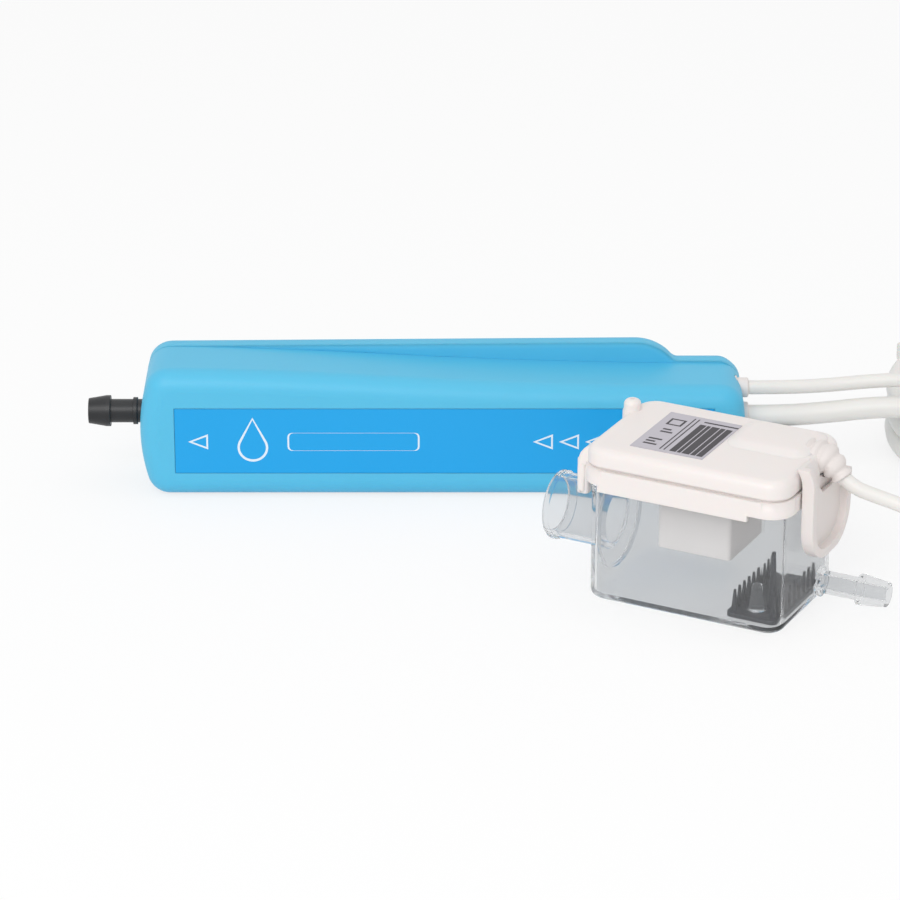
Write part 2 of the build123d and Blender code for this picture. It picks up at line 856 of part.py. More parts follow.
hose_start = tube_end + cap_flange + seat_gap
hose_end = inlet_wall_x - seat_gap * 2 - flange_thickness
with BuildPart() as suction_hose:
    with BuildLine() as hose_line:
        FilletPolyline(
            (hose_start, 0, axis_z),
            (hose_start + cap_nozzle + hose_straight, 0, axis_z),
            (nipple_end - hose_straight, inlet_y, inlet_z),
            (hose_end, inlet_y, inlet_z),
            radius=hose_bend,
        )
    with BuildSketch(Plane(origin=hose_line.line @ 0, z_dir=hose_line.line % 0)):
        Circle(shank_radius + seat_gap + hose_wall)
        Circle(shank_radius + seat_gap, mode=Mode.SUBTRACT)
    sweep(path=hose_line.line)
save(suction_hose, "suction_hose")

board_front_y = back_y - case_wall - board_gap - board_thickness
with BuildPart() as circuit_board:
    with BuildSketch(Plane.XZ.offset(-(board_front_y + board_thickness))):
        with Locations(((board_start + board_end) / 2, (board_low + board_high) / 2)):
            Rectangle(board_end - board_start, board_high - board_low)
    extrude(amount=board_thickness)
save(circuit_board, "circuit_board")

with BuildPart() as board_components:
    with BuildSketch(Plane.XZ.offset(-board_front_y)):
        for part_x, part_z, part_width, part_height in board_parts:
            with Locations((board_start + part_x, board_low + part_z)):
                RectangleRounded(part_width, part_height, component_corner)
    extrude(amount=component_rise)
save(board_components, "board_components")

# ---------------------------------------------------------------- reservoir tank
with BuildPart() as tank:
    with BuildSketch(level(0, tank_length / 2, tank_width / 2)):
        RectangleRounded(tank_length, tank_width, tank_corner)
    extrude(amount=tank_height)
    fillet(tank.faces().sort_by(Axis.Z)[0].edges(), radius=tank_foot_radius)
    with BuildSketch(level(tank_floor, tank_length / 2, tank_width / 2)):
        RectangleRounded(
            tank_length - 2 * tank_wall, tank_width - 2 * tank_wall, tank_corner - tank_wall
        )
    extrude(amount=tank_height - tank_floor, mode=Mode.SUBTRACT)
    # Inlet spout, with a bead round its mouth and a ring on the inside of the wall
    with BuildSketch(across(0, spout_v, spout_w)):
        Circle(spout_radius)
    extrude(amount=-spout_length)
    with BuildSketch(across(-spout_length + spout_bead_width, spout_v, spout_w)):
        Circle(spout_radius + spout_bead)
    extrude(amount=-spout_bead_width)
    mouth = tank.faces().filter_by(GeomType.PLANE).sort_by(Axis(reservoir.origin, reservoir.x_dir))[0]
    fillet(mouth.edges(), radius=spout_bead_width / 2)
    with BuildSketch(across(tank_wall, spout_v, spout_w)):
        Circle(spout_ring_radius)
        Circle(spout_ring_radius - spout_ring_width, mode=Mode.SUBTRACT)
    extrude(amount=spout_ring_depth)
    with BuildSketch(across(-spout_length, spout_v, spout_w)):
        Circle(spout_bore_radius)
    extrude(amount=spout_length + tank_wall + spout_ring_depth, mode=Mode.SUBTRACT)
    # Outlet barb, low on the other end
    with BuildSketch(side_on(drain_v, tank_length, drain_w)):
        with BuildLine():
            Polyline(
                (-tank_wall / 2, 0),
                (-tank_wall / 2, drain_shank_radius + drain_root),
                (drain_root, drain_shank_radius + drain_root),
                (drain_root + drain_root_taper, drain_shank_radius),
                (drain_length - drain_head, drain_shank_radius),
                (drain_length - drain_head, drain_radius),
                (drain_length - drain_head + drain_land, drain_radius),
                (drain_length, drain_tip_radius),
                (drain_length, 0),
                close=True,
            )
        make_face()
    revolve(axis=Axis(reservoir.from_local_coords((0, drain_v, drain_w)), reservoir.x_dir))
    with BuildSketch(across(tank_length - 2 * tank_wall, drain_v, drain_w)):
        Circle(drain_bore_radius)
    extrude(amount=drain_length + 2 * tank_wall, mode=Mode.SUBTRACT)
    # Tapered post for the filter
    with BuildSketch(level(tank_floor / 2, filter_post_u, filter_post_v)):
        Circle(filter_post_radius)
    with BuildSketch(level(tank_floor + filter_post_height, filter_post_u, filter_post_v)):
        Circle(filter_post_top_radius)
    loft()
save(tank, "tank")

# ---------------------------------------------------------------- lid
lid_length = tank_length + 2 * lid_outset
lid_width = tank_width + 2 * lid_outset
lid_corner = tank_corner + lid_outset
with BuildPart() as lid_base:
    with BuildSketch(level(skirt_low, tank_length / 2, tank_width / 2)):
        RectangleRounded(lid_length, lid_width, lid_corner)
    extrude(amount=seam_w - skirt_low)
    # Deeper apron along both sides
    with BuildSketch(level(apron_low, (apron_start + apron_end) / 2, tank_width / 2)):
        Rectangle(apron_end - apron_start, lid_width)
    extrude(amount=skirt_low - apron_low)
    # Guide tabs over the spout end
    with BuildSketch(level(hook_low, -lid_outset - hook_thickness / 2)):
        for tab_v in hook_places:
            with Locations((0, tab_v)):
                RectangleRounded(hook_thickness + hook_corner, hook_width, hook_corner)
    extrude(amount=seam_w - hook_low)
    # Room for the tank's rim and wall
    with BuildSketch(level(hook_low, tank_length / 2, tank_width / 2)):
        RectangleRounded(tank_length + 2 * lid_gap, tank_width + 2 * lid_gap, tank_corner + lid_gap)
    extrude(amount=plate_low - hook_low, mode=Mode.SUBTRACT)
    # Stem on which the float slides, with a groove for its clip
    with BuildSketch(level(stem_low, stem_u, stem_v)):
        Circle(stem_radius)
    extrude(amount=plate_low - stem_low + lid_plate / 2)
    with BuildSketch(level(float_low - seat_gap - clip_thickness, stem_u, stem_v)):
        Circle(stem_radius)
        Circle(stem_radius - clip_groove, mode=Mode.SUBTRACT)
    extrude(amount=clip_thickness, mode=Mode.SUBTRACT)
    # The grommet lies in the base's end wall
    with BuildSketch(across(grommet_start - grommet_gap, grommet_v, grommet_w)):
        Circle(grommet_radius + grommet_gap)
    extrude(amount=grommet_end - grommet_start, mode=Mode.SUBTRACT)
save(lid_base, "lid_base")

with BuildPart() as lid_cover:
    with BuildSketch(level(seam_w, tank_length / 2, tank_width / 2)):
        RectangleRounded(
            lid_length - 2 * cover_inset, lid_width - 2 * cover_inset, lid_corner - cover_inset
        )
    extrude(amount=cover_top - seam_w)
    fillet(lid_cover.faces().sort_by(Axis.Z)[-1].edges(), radius=cover_radius)
    # Raised channel over the lead
    with BuildSketch(
        level(cover_top - cover_radius, (ridge_start + ridge_end) / 2, (ridge_front + ridge_back) / 2)
    ):
        RectangleRounded(ridge_length, ridge_width, ridge_corner)
    extrude(amount=ridge_rise + cover_radius)
    fillet(lid_cover.faces().sort_by(Axis.Z)[-1].edges(), radius=ridge_edge_radius)
    with BuildSketch(level(seam_w, tank_length / 2, tank_width / 2)):
        RectangleRounded(
            lid_length - 2 * cover_inset - 2 * cover_wall,
            lid_width - 2 * cover_inset - 2 * cover_wall,
            lid_corner - cover_inset - cover_wall,
        )
    extrude(amount=cover_top - cover_wall - seam_w, mode=Mode.SUBTRACT)
    with BuildSketch(across(grommet_start - grommet_gap, grommet_v, grommet_w)):
        Circle(grommet_radius + grommet_gap)
    extrude(amount=grommet_end - grommet_start, mode=Mode.SUBTRACT)
    with BuildSketch(level(seam_w, vent_u, vent_v)):
        Circle(vent_radius + seat_gap)
    extrude(amount=cover_top, mode=Mode.SUBTRACT)
save(lid_cover, "lid_cover")

with BuildPart() as vent_tube:
    with BuildSketch(level(seam_w, vent_u, vent_v)):
        Circle(vent_radius)
    extrude(amount=vent_top - seam_w)
    fillet(vent_tube.faces().sort_by(Axis.Z)[-1].edges(), radius=vent_edge_radius)
    with BuildSketch(level(seam_w, vent_u, vent_v)):
        Circle(vent_bore_radius)
    extrude(amount=vent_top - seam_w, mode=Mode.SUBTRACT)
save(vent_tube, "vent_tube")

with BuildPart() as lid_gasket:
    with BuildSketch(level(tank_height, tank_length / 2, tank_width / 2)):
        RectangleRounded(tank_length, tank_width, tank_corner)
        RectangleRounded(
            tank_length - 2 * gasket_width, tank_width - 2 * gasket_width,
            tank_corner - gasket_width, mode=Mode.SUBTRACT,
        )
    extrude(amount=gasket_thickness)
    with BuildSketch(across(grommet_start - grommet_gap, grommet_v, grommet_w)):
        Circle(grommet_radius + grommet_gap)
    extrude(amount=grommet_end - grommet_start, mode=Mode.SUBTRACT)
save(lid_gasket, "lid_gasket")

with BuildPart() as lid_label:
    with BuildSketch(
        level(cover_top, (label_start_u + label_end_u) / 2, (label_start_v + label_end_v) / 2)
    ):
        Rectangle(label_end_u - label_start_u, label_end_v - label_start_v)
    extrude(amount=label_thickness)
save(lid_label, "lid_label")

rib_pitch = (grommet_outer - grommet_rib) / (grommet_ribs - 1)
with BuildPart() as grommet:
    with BuildSketch(across(grommet_start, grommet_v, grommet_w)):
        Circle(grommet_radius - grommet_groove)
    extrude(amount=grommet_end - grommet_start)
    for rib in range(grommet_ribs):
        with BuildSketch(
            across(grommet_end - grommet_rib - rib * rib_pitch, grommet_v, grommet_w)
        ):
            Circle(grommet_radius)
        extrude(amount=grommet_rib)
save(grommet, "grommet")

with BuildPart() as sensor_board:
    with BuildSketch(level(seam_w, stem_u, stem_v)):
        RectangleRounded(sensor_board_length, sensor_board_width, sensor_board_corner)
    extrude(amount=sensor_board_thickness)
    with BuildSketch(level(seam_w + sensor_board_thickness, stem_u, stem_v)):
        RectangleRounded(sensor_board_width / 2, sensor_board_width / 3, reed_corner)
    extrude(amount=sensor_board_thickness)
save(sensor_board, "sensor_board")

# ---------------------------------------------------------------- latch
latch_mid_v = (latch_start_v + latch_end_v) / 2
latch_width = latch_end_v - latch_start_v
with BuildPart() as latch:
    with BuildSketch(across(latch_u, latch_mid_v, (latch_low + latch_high) / 2)) as plate_outline:
        Rectangle(latch_width, latch_high - latch_low)
        fillet(plate_outline.vertices().group_by(Axis.Z)[0], radius=latch_corner)
    extrude(amount=latch_plate + latch_rim_rise)
    with BuildSketch(
        across(latch_u + latch_plate, latch_mid_v, (latch_low + latch_high) / 2 + latch_rim)
    ) as recess_outline:
        Rectangle(latch_width - 2 * latch_rim, latch_high - latch_low)
        fillet(recess_outline.vertices().group_by(Axis.Z)[0], radius=latch_corner - latch_rim)
    extrude(amount=latch_rim_rise, mode=Mode.SUBTRACT)
    # Notch for the grommet
    with BuildSketch(across(latch_u, grommet_v, latch_high)):
        Rectangle(
            2 * (grommet_radius + latch_notch_gap),
            2 * (latch_high - grommet_w + grommet_radius + latch_notch_gap),
        )
    extrude(amount=latch_plate + latch_rim_rise, mode=Mode.SUBTRACT)
save(latch, "latch")

# ---------------------------------------------------------------- float
with BuildPart() as float_block:
    with BuildSketch(level(float_low, stem_u, stem_v)):
        RectangleRounded(float_length, float_width, float_corner)
    extrude(amount=float_height)
    with BuildSketch(level(float_low, stem_u, stem_v)):
        Circle(stem_radius + float_clearance)
    extrude(amount=float_height, mode=Mode.SUBTRACT)
    with BuildSketch(level(float_low + magnet_rise, stem_u, stem_v)):
        Circle(magnet_radius + seat_gap)
    extrude(amount=magnet_height + seat_gap, mode=Mode.SUBTRACT)
save(float_block, "float_block")

with BuildPart() as float_magnet:
    with BuildSketch(level(float_low + magnet_rise, stem_u, stem_v)):
        Circle(magnet_radius)
        Circle(stem_radius + float_clearance, mode=Mode.SUBTRACT)
    extrude(amount=magnet_height)
save(float_magnet, "float_magnet")

with BuildPart() as float_clip:
    with BuildSketch(level(float_low - seat_gap - clip_thickness, stem_u, stem_v)):
        Circle(clip_radius)
        Circle(stem_radius - clip_groove, mode=Mode.SUBTRACT)
        with Locations((clip_radius / 2, 0)):
            Rectangle(clip_radius, (stem_radius - clip_groove), mode=Mode.SUBTRACT)
    extrude(amount=clip_thickness)
save(float_clip, "float_clip")

# ---------------------------------------------------------------- filter
filter_low = tank_floor + filter_lift
filter_width = filter_far - filter_near
teeth_across = int(filter_width / filter_pitch)
with BuildPart() as filter_screen:
    with BuildSketch(
        level(filter_low, (filter_start + filter_end) / 2, (filter_near + filter_far) / 2)
    ):
        RectangleRounded(filter_length, filter_width, filter_corner)
    extrude(amount=filter_plate)
    # A comb of upright teeth along both long edges
    for row_u in (filter_start + filter_tooth, filter_end - filter_tooth):
        with BuildSketch(level(filter_low, row_u, (filter_near + filter_far) / 2)):
            with GridLocations(1, filter_pitch, 1, teeth_across):
                Rectangle(filter_tooth, filter_tooth)
        extrude(amount=filter_tooth_height, taper=filter_tooth_taper)
    with BuildSketch(level(filter_low, filter_spike_u, filter_spike_v)):
        Circle(filter_spike_radius)
    extrude(amount=filter_spike_height, taper=filter_spike_taper)
    with BuildSketch(level(filter_low, filter_post_u, filter_post_v)):
        Circle(filter_post_radius + filter_post_gap)
    extrude(amount=filter_plate, mode=Mode.SUBTRACT)
save(filter_screen, "filter_screen")

# ---------------------------------------------------------------- leads and coils
def ring(inner, outer, low, high):
    """The outer shape of a coil of cable that lies on the ties."""
    with BuildPart() as coil:
        with BuildSketch(Plane(origin=(coil_x, coil_y, low))):
            Circle(outer)
            Circle(inner, mode=Mode.SUBTRACT)
        extrude(amount=high - low)
        fillet(coil.edges(), radius=coil_edge_radius)
    return coil


mains_coil_inner = coil_outer_radius - mains_coil_width
mains_coil = ring(mains_coil_inner, coil_outer_radius, coil_foot, coil_foot + mains_coil_height)
save(mains_coil, "mains_coil")
sensor_coil_outer = mains_coil_inner - coil_gap
sensor_coil = ring(
    sensor_coil_outer - sensor_coil_width, sensor_coil_outer, coil_foot,
    coil_foot + sensor_coil_height,
)
save(sensor_coil, "sensor_coil")


def tube_radii(points):
    """The largest arc that each corner's two runs allow."""
    radii = []
    for before, corner, after in zip(points, points[1:], points[2:]):
        run_in = Vector(*corner) - Vector(*before)
        run_out = Vector(*after) - Vector(*corner)
        half_turn = radians(run_in.get_angle(run_out)) / 2
        radii.append(0.45 * min(run_in.length, run_out.length) / tan(half_turn))
    return radii


def lead(name, points, diameter, coil=None):
    """A free lead as straight runs joined by arcs.  It stops where it meets its coil."""
    radii = tube_radii(points)
    with BuildPart() as tube:
        with BuildLine():
            route = FilletPolyline(*points, radius=radii)
        with BuildSketch(Plane(origin=route @ 0, z_dir=route % 0)):
            Circle(diameter / 2)
        sweep(path=route)
        swept = tube.part.volume
        if coil is not None:
            add(coil.part, mode=Mode.SUBTRACT)
    by_length = pi * diameter**2 / 4 * route.length
    print(
        f"{name}: length {route.length:.1f}, volume {swept:.1f} against {by_length:.1f}, "
        f"radii {' '.join(f'{r:.0f}' for r in radii)}"
    )
    return tube


mains_route = [
    (gland_face_x, mains_y, mains_z),
    (gland_face_x + lead_straight, mains_y, mains_z),
    (109.0, -0.1, 20.6),
    (121.0, -1.0, 22.4),
    (131.5, -3.6, 23.3),
    (141.0, -9.0, 22.9),
]
mains_lead = lead("mains_lead", mains_route, mains_diameter, mains_coil)
save(mains_lead, "mains_lead")

sensor_route = [
    (gland_face_x, sensor_y, sensor_z),
    (gland_face_x + lead_straight, sensor_y, sensor_z),
    (109.0, 2.4, 27.8),
    (120.5, 2.0, 29.2),
    (131.0, -0.8, 30.9),
    (141.0, -6.0, 31.2),
    (149.0, -10.0, 29.8),
    (156.5, -11.2, 25.8),
    (164.0, -13.4, 22.6),
]
sensor_lead = lead("sensor_lead", sensor_route, sensor_diameter, sensor_coil)
save(sensor_lead, "sensor_lead")

grommet_mouth, past_grommet = [
    reservoir.from_local_coords((u, grommet_v, grommet_w))
    for u in (grommet_end, grommet_end + grommet_straight)
]
float_route = [
    (grommet_mouth.X, grommet_mouth.Y, grommet_mouth.Z),
    (past_grommet.X, past_grommet.Y, past_grommet.Z),
    (121.5, -94.2, 37.4),
    (130.5, -97.0, 28.8),
    (140.5, -98.0, 17.2),
    (152.5, -96.8, 6.6),
    (167.0, -91.0, 2.6),
    (180.0, -80.0, 2.4),
    (189.0, -66.0, 2.8),
    (194.0, -51.5, 6.4),
    (197.5, -39.0, 15.3),
    (199.3, -28.5, 26.6),
    (195.2, -17.4, 32.9),
    (185.5, -9.9, 31.2),
    (173.0, -10.5, 23.2),
]
float_lead = lead("float_lead", float_route, sensor_diameter, sensor_coil)
save(float_lead, "float_lead")

tail_route = [
    (212.6, 15.2, 6.6),
    (220.4, 26.8, 5.6),
    (223.1, 40.5, 4.4),
    (220.2, 54.2, 3.5),
    (212.2, 65.7, 3.3),
    (200.3, 73.1, 3.3),
    (186.5, 75.3, 3.3),
]
mains_tail = lead("mains_tail", tail_route, mains_diameter, mains_coil)
save(mains_tail, "mains_tail")

tail_end = Vector(*tail_route[-1])
tail_heading = (tail_end - Vector(*tail_route[-2])).normalized()
core_plane = Plane(origin=tail_end, x_dir=(0, 0, 1), z_dir=tail_heading)
with BuildPart() as mains_cores:
    with BuildSketch(core_plane):
        with PolarLocations(core_spread, 3):
            Circle(core_radius)
    extrude(amount=core_length - core_bare_length)
    with BuildSketch(core_plane.offset(core_length - core_bare_length)):
        with PolarLocations(core_spread, 3):
            Circle(core_bare_radius)
    extrude(amount=core_bare_length)
save(mains_cores, "mains_cores")

# Two straps hold both coils, and lie under them
tie_inner = sensor_coil_outer - sensor_coil_width - tie_gap
tie_outer = coil_outer_radius + tie_gap
tie_low = coil_foot - tie_gap
tie_high = coil_foot + mains_coil_height + tie_gap
with BuildPart() as cable_ties:
    for tie_angle in tie_angles:
        strap_dir = Vector(cos(radians(tie_angle)), sin(radians(tie_angle)), 0)
        strap_plane = Plane(
            origin=(coil_x, coil_y, 0), x_dir=strap_dir, z_dir=strap_dir.cross(Vector(0, 0, 1))
        )
        with BuildSketch(strap_plane.offset(-tie_width / 2)):
            with Locations(((tie_inner + tie_outer) / 2, (tie_low + tie_high) / 2)):
                RectangleRounded(
                    tie_outer - tie_inner + 2 * tie_thickness,
                    tie_high - tie_low + 2 * tie_thickness,
                    tie_corner,
                )
                RectangleRounded(
                    tie_outer - tie_inner, tie_high - tie_low, tie_corner - tie_thickness,
                    mode=Mode.SUBTRACT,
                )
        extrude(amount=tie_width)
        # The locking head stands on the strap's outer side
        with BuildSketch(strap_plane.offset(-tie_head_width / 2)):
            with Locations((tie_outer + (tie_thickness + tie_head_depth) / 2, (tie_low + tie_high) / 2)):
                RectangleRounded(tie_head_depth, tie_head_length, tie_head_corner)
        extrude(amount=tie_head_width)
save(cable_ties, "cable_ties")
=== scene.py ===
"""The condensate pump's looks, leads, coil ties, finer forms and printed marks, and its studio.

Metres, in the CAD's frame: +X along the pump towards its leads, +Y away from the reservoir, +Z up.
"""

from math import atan2, cos, hypot, pi, radians, sin

import bmesh
import bpy
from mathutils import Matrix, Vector


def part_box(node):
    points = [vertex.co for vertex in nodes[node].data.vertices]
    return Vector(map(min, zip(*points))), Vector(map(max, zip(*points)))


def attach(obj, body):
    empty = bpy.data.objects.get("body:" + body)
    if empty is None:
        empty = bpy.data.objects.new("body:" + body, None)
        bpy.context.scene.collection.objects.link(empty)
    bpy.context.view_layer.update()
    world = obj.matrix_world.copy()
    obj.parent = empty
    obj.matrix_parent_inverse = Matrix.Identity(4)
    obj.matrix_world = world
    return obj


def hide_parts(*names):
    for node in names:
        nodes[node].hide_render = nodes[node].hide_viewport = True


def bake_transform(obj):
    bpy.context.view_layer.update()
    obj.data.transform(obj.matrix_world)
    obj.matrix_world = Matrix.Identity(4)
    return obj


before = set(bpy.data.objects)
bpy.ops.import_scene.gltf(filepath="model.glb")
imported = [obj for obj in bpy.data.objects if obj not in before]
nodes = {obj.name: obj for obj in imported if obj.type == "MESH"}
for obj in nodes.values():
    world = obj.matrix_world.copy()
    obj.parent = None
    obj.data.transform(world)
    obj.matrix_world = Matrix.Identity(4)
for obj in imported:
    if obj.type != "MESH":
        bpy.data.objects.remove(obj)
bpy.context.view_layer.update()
MM = 0.001
SQUARE = ((-1, -1), (1, -1), (1, 1), (-1, 1))  # a square's corners in turn


def placed(name, data):
    """An object that holds the data, linked into the scene."""
    made = bpy.data.objects.new(name, data)
    bpy.context.collection.objects.link(made)
    return made


# ---------------------------------------------------------------- camera
CAMERA_PLACE = Vector((0.0020, -1.0968, 0.4711))
CAMERA_TILT = radians(22.85)  # down from level
FOCAL_LENGTH, SENSOR_WIDTH = 167.8, 36.0  # mm

camera_data = bpy.data.cameras.new("camera")
camera_data.sensor_width = SENSOR_WIDTH
camera_data.lens = FOCAL_LENGTH
camera = placed("camera", camera_data)
camera.location = CAMERA_PLACE
camera.rotation_euler = (pi / 2 - CAMERA_TILT, 0, 0)
bpy.context.scene.camera = camera

# ---------------------------------------------------------------- where the reservoir stands
RESERVOIR_PLACE = Vector((37.8, -80.2, 0)) * MM
RESERVOIR_YAW = radians(27.5)
ALONG = Vector((cos(RESERVOIR_YAW), -sin(RESERVOIR_YAW), 0))
ACROSS = Vector((sin(RESERVOIR_YAW), cos(RESERVOIR_YAW), 0))
UP = Vector((0, 0, 1))


def reservoir(u, v, w):
    """The point u mm along the reservoir, v mm across it and w mm up, in metres."""
    return RESERVOIR_PLACE + (ALONG * u + ACROSS * v + UP * w) * MM


# ---------------------------------------------------------------- materials
def srgb(red, green, blue):
    """A colour written in 0 to 255 steps, as the linear values that a shader takes."""
    linear = []
    for step in (red, green, blue):
        share = step / 255
        linear.append(share / 12.92 if share <= 0.04045 else ((share + 0.055) / 1.055) ** 2.4)
    return (*linear, 1.0)


def shaded(colour, factor):
    """The colour made darker or lighter by a factor."""
    return (*(min(1.0, channel * factor) for channel in colour[:3]), 1.0)


def feed(tree, socket, value):
    """Gives a socket its value: a node's output to take it from, or the value itself."""
    if isinstance(value, bpy.types.NodeSocket):
        tree.links.new(value, socket)
    else:
        socket.default_value = value


def maths(tree, operation, *values):
    """The result of a sum or comparison."""
    made = tree.nodes.new("ShaderNodeMath")
    made.operation = operation
    for socket, value in zip(made.inputs, values):
        feed(tree, socket, value)
    return made.outputs[0]


def ranged(tree, value, **ends):
    """A value carried over to another range.  The ends go by the node's own names, as To_Min."""
    made = tree.nodes.new("ShaderNodeMapRange")
    for end, number in ends.items():
        made.inputs[end.replace("_", " ")].default_value = number
    feed(tree, made.inputs["Value"], value)
    return made.outputs["Result"]


def noise(tree, place, scale, detail):
    """An even random pattern, 0 to 1."""
    made = tree.nodes.new("ShaderNodeTexNoise")
    made.inputs["Scale"].default_value = scale
    made.inputs["Detail"].default_value = detail
    feed(tree, made.inputs["Vector"], place)
    return made.outputs["Fac"]


def blended(tree, share, first, second):
    """Two colours blended, all of the second where the share is 1."""
    made = tree.nodes.new("ShaderNodeMix")
    made.data_type = "RGBA"
    sockets = {socket.identifier: socket for socket in (*made.inputs, *made.outputs)}
    feed(tree, sockets["Factor_Float"], share)
    feed(tree, sockets["A_Color"], first)
    feed(tree, sockets["B_Color"], second)
    return sockets["Result_Color"]


def either_shader(tree, share, first, second):
    """Two shaders mixed, all of the second where the share is 1."""
    made = tree.nodes.new("ShaderNodeMixShader")
    for socket, value in zip(made.inputs, (share, first, second)):
        feed(tree, socket, value)
    return made.outputs[0]


MOTTLE_DETAIL, GRAIN_DETAIL = 3, 2
EDGE_SAMPLES = 4
EDGE_TURN_START, EDGE_TURN_FULL = 0.98, 0.8  # cosines of the turn where wear starts and is full
EDGE_DULLING = 0.12


def material(
    name, colour, roughness, *, mottle=0.04, mottle_scale=60, grain=0.04, grain_scale=1800,
    bump=0.08, bump_depth=0.00004, edge=0.0004, edge_wear=0.06, **shader_values,
):
    """A moulded or drawn surface.

    Its colour drifts slightly, its gloss is uneven, its grain is fine, and its edges are rounded
    over the width "edge", where they are rubbed a little lighter and duller.
    """
    made = bpy.data.materials.new(name)
    made.use_nodes = True
    tree = made.node_tree
    shader = tree.nodes["Principled BSDF"]
    place = tree.nodes.new("ShaderNodeTexCoord").outputs["Object"]
    drift = noise(tree, place, mottle_scale, MOTTLE_DETAIL)
    fine = noise(tree, place, grain_scale, GRAIN_DETAIL)
    mottled = blended(tree, drift, shaded(colour, 1 - mottle), shaded(colour, 1 + mottle))

    # How far the rounded edge turns away from the flat surface: 0 on faces, 1 on edges
    rounded = tree.nodes.new("ShaderNodeBevel")
    rounded.samples = EDGE_SAMPLES
    rounded.inputs["Radius"].default_value = edge
    flat = tree.nodes.new("ShaderNodeNewGeometry")
    turned = tree.nodes.new("ShaderNodeVectorMath")
    turned.operation = "DOT_PRODUCT"
    tree.links.new(rounded.outputs["Normal"], turned.inputs[0])
    tree.links.new(flat.outputs["Normal"], turned.inputs[1])
    rubbed = ranged(tree, turned.outputs["Value"], From_Min=EDGE_TURN_START, From_Max=EDGE_TURN_FULL)
    worn = maths(tree, "MULTIPLY", rubbed, drift)
    coat = blended(tree, worn, mottled, shaded(colour, 1 + edge_wear))
    tree.links.new(coat, shader.inputs["Base Color"])

    least, most = max(0.0, roughness - grain), min(1.0, roughness + grain)
    gloss = ranged(tree, fine, To_Min=least, To_Max=most)
    duller = maths(tree, "MULTIPLY_ADD", worn, EDGE_DULLING, gloss)
    tree.links.new(duller, shader.inputs["Roughness"])
    relief = tree.nodes.new("ShaderNodeBump")
    relief.inputs["Strength"].default_value = bump
    relief.inputs["Distance"].default_value = bump_depth
    tree.links.new(fine, relief.inputs["Height"])
    tree.links.new(rounded.outputs["Normal"], relief.inputs["Normal"])
    tree.links.new(relief.outputs["Normal"], shader.inputs["Normal"])
    for socket, value in shader_values.items():
        shader.inputs[socket.replace("_", " ")].default_value = value
    return made


CAUGHT_DEPTH = 5  # a ray turned more often than this is caught between the clear walls


def lets_light_in(made, tint):
    """Light from lamps and bright surfaces passes straight through the clear material.

    Rays that are caught between its walls go straight on too, as they would end dark in there.
    """
    tree = made.node_tree
    shader = tree.nodes["Principled BSDF"]
    passed = tree.nodes.new("ShaderNodeBsdfTransparent")
    passed.inputs["Color"].default_value = tint
    rays = tree.nodes.new("ShaderNodeLightPath")
    lighting = maths(tree, "MAXIMUM", rays.outputs["Is Shadow Ray"], rays.outputs["Is Diffuse Ray"])
    caught = maths(tree, "GREATER_THAN", rays.outputs["Ray Depth"], CAUGHT_DEPTH)
    passes = maths(tree, "MAXIMUM", lighting, caught)
    both = either_shader(tree, passes, shader.outputs["BSDF"], passed.outputs["BSDF"])
    tree.links.new(both, tree.nodes["Material Output"].inputs["Surface"])
    return made


CASING_BLUE = srgb(86, 189, 226)
LABEL_BLUE = srgb(14, 163, 229)
LID_WHITE = srgb(237, 230, 227)
PVC_WHITE = srgb(232, 230, 226)

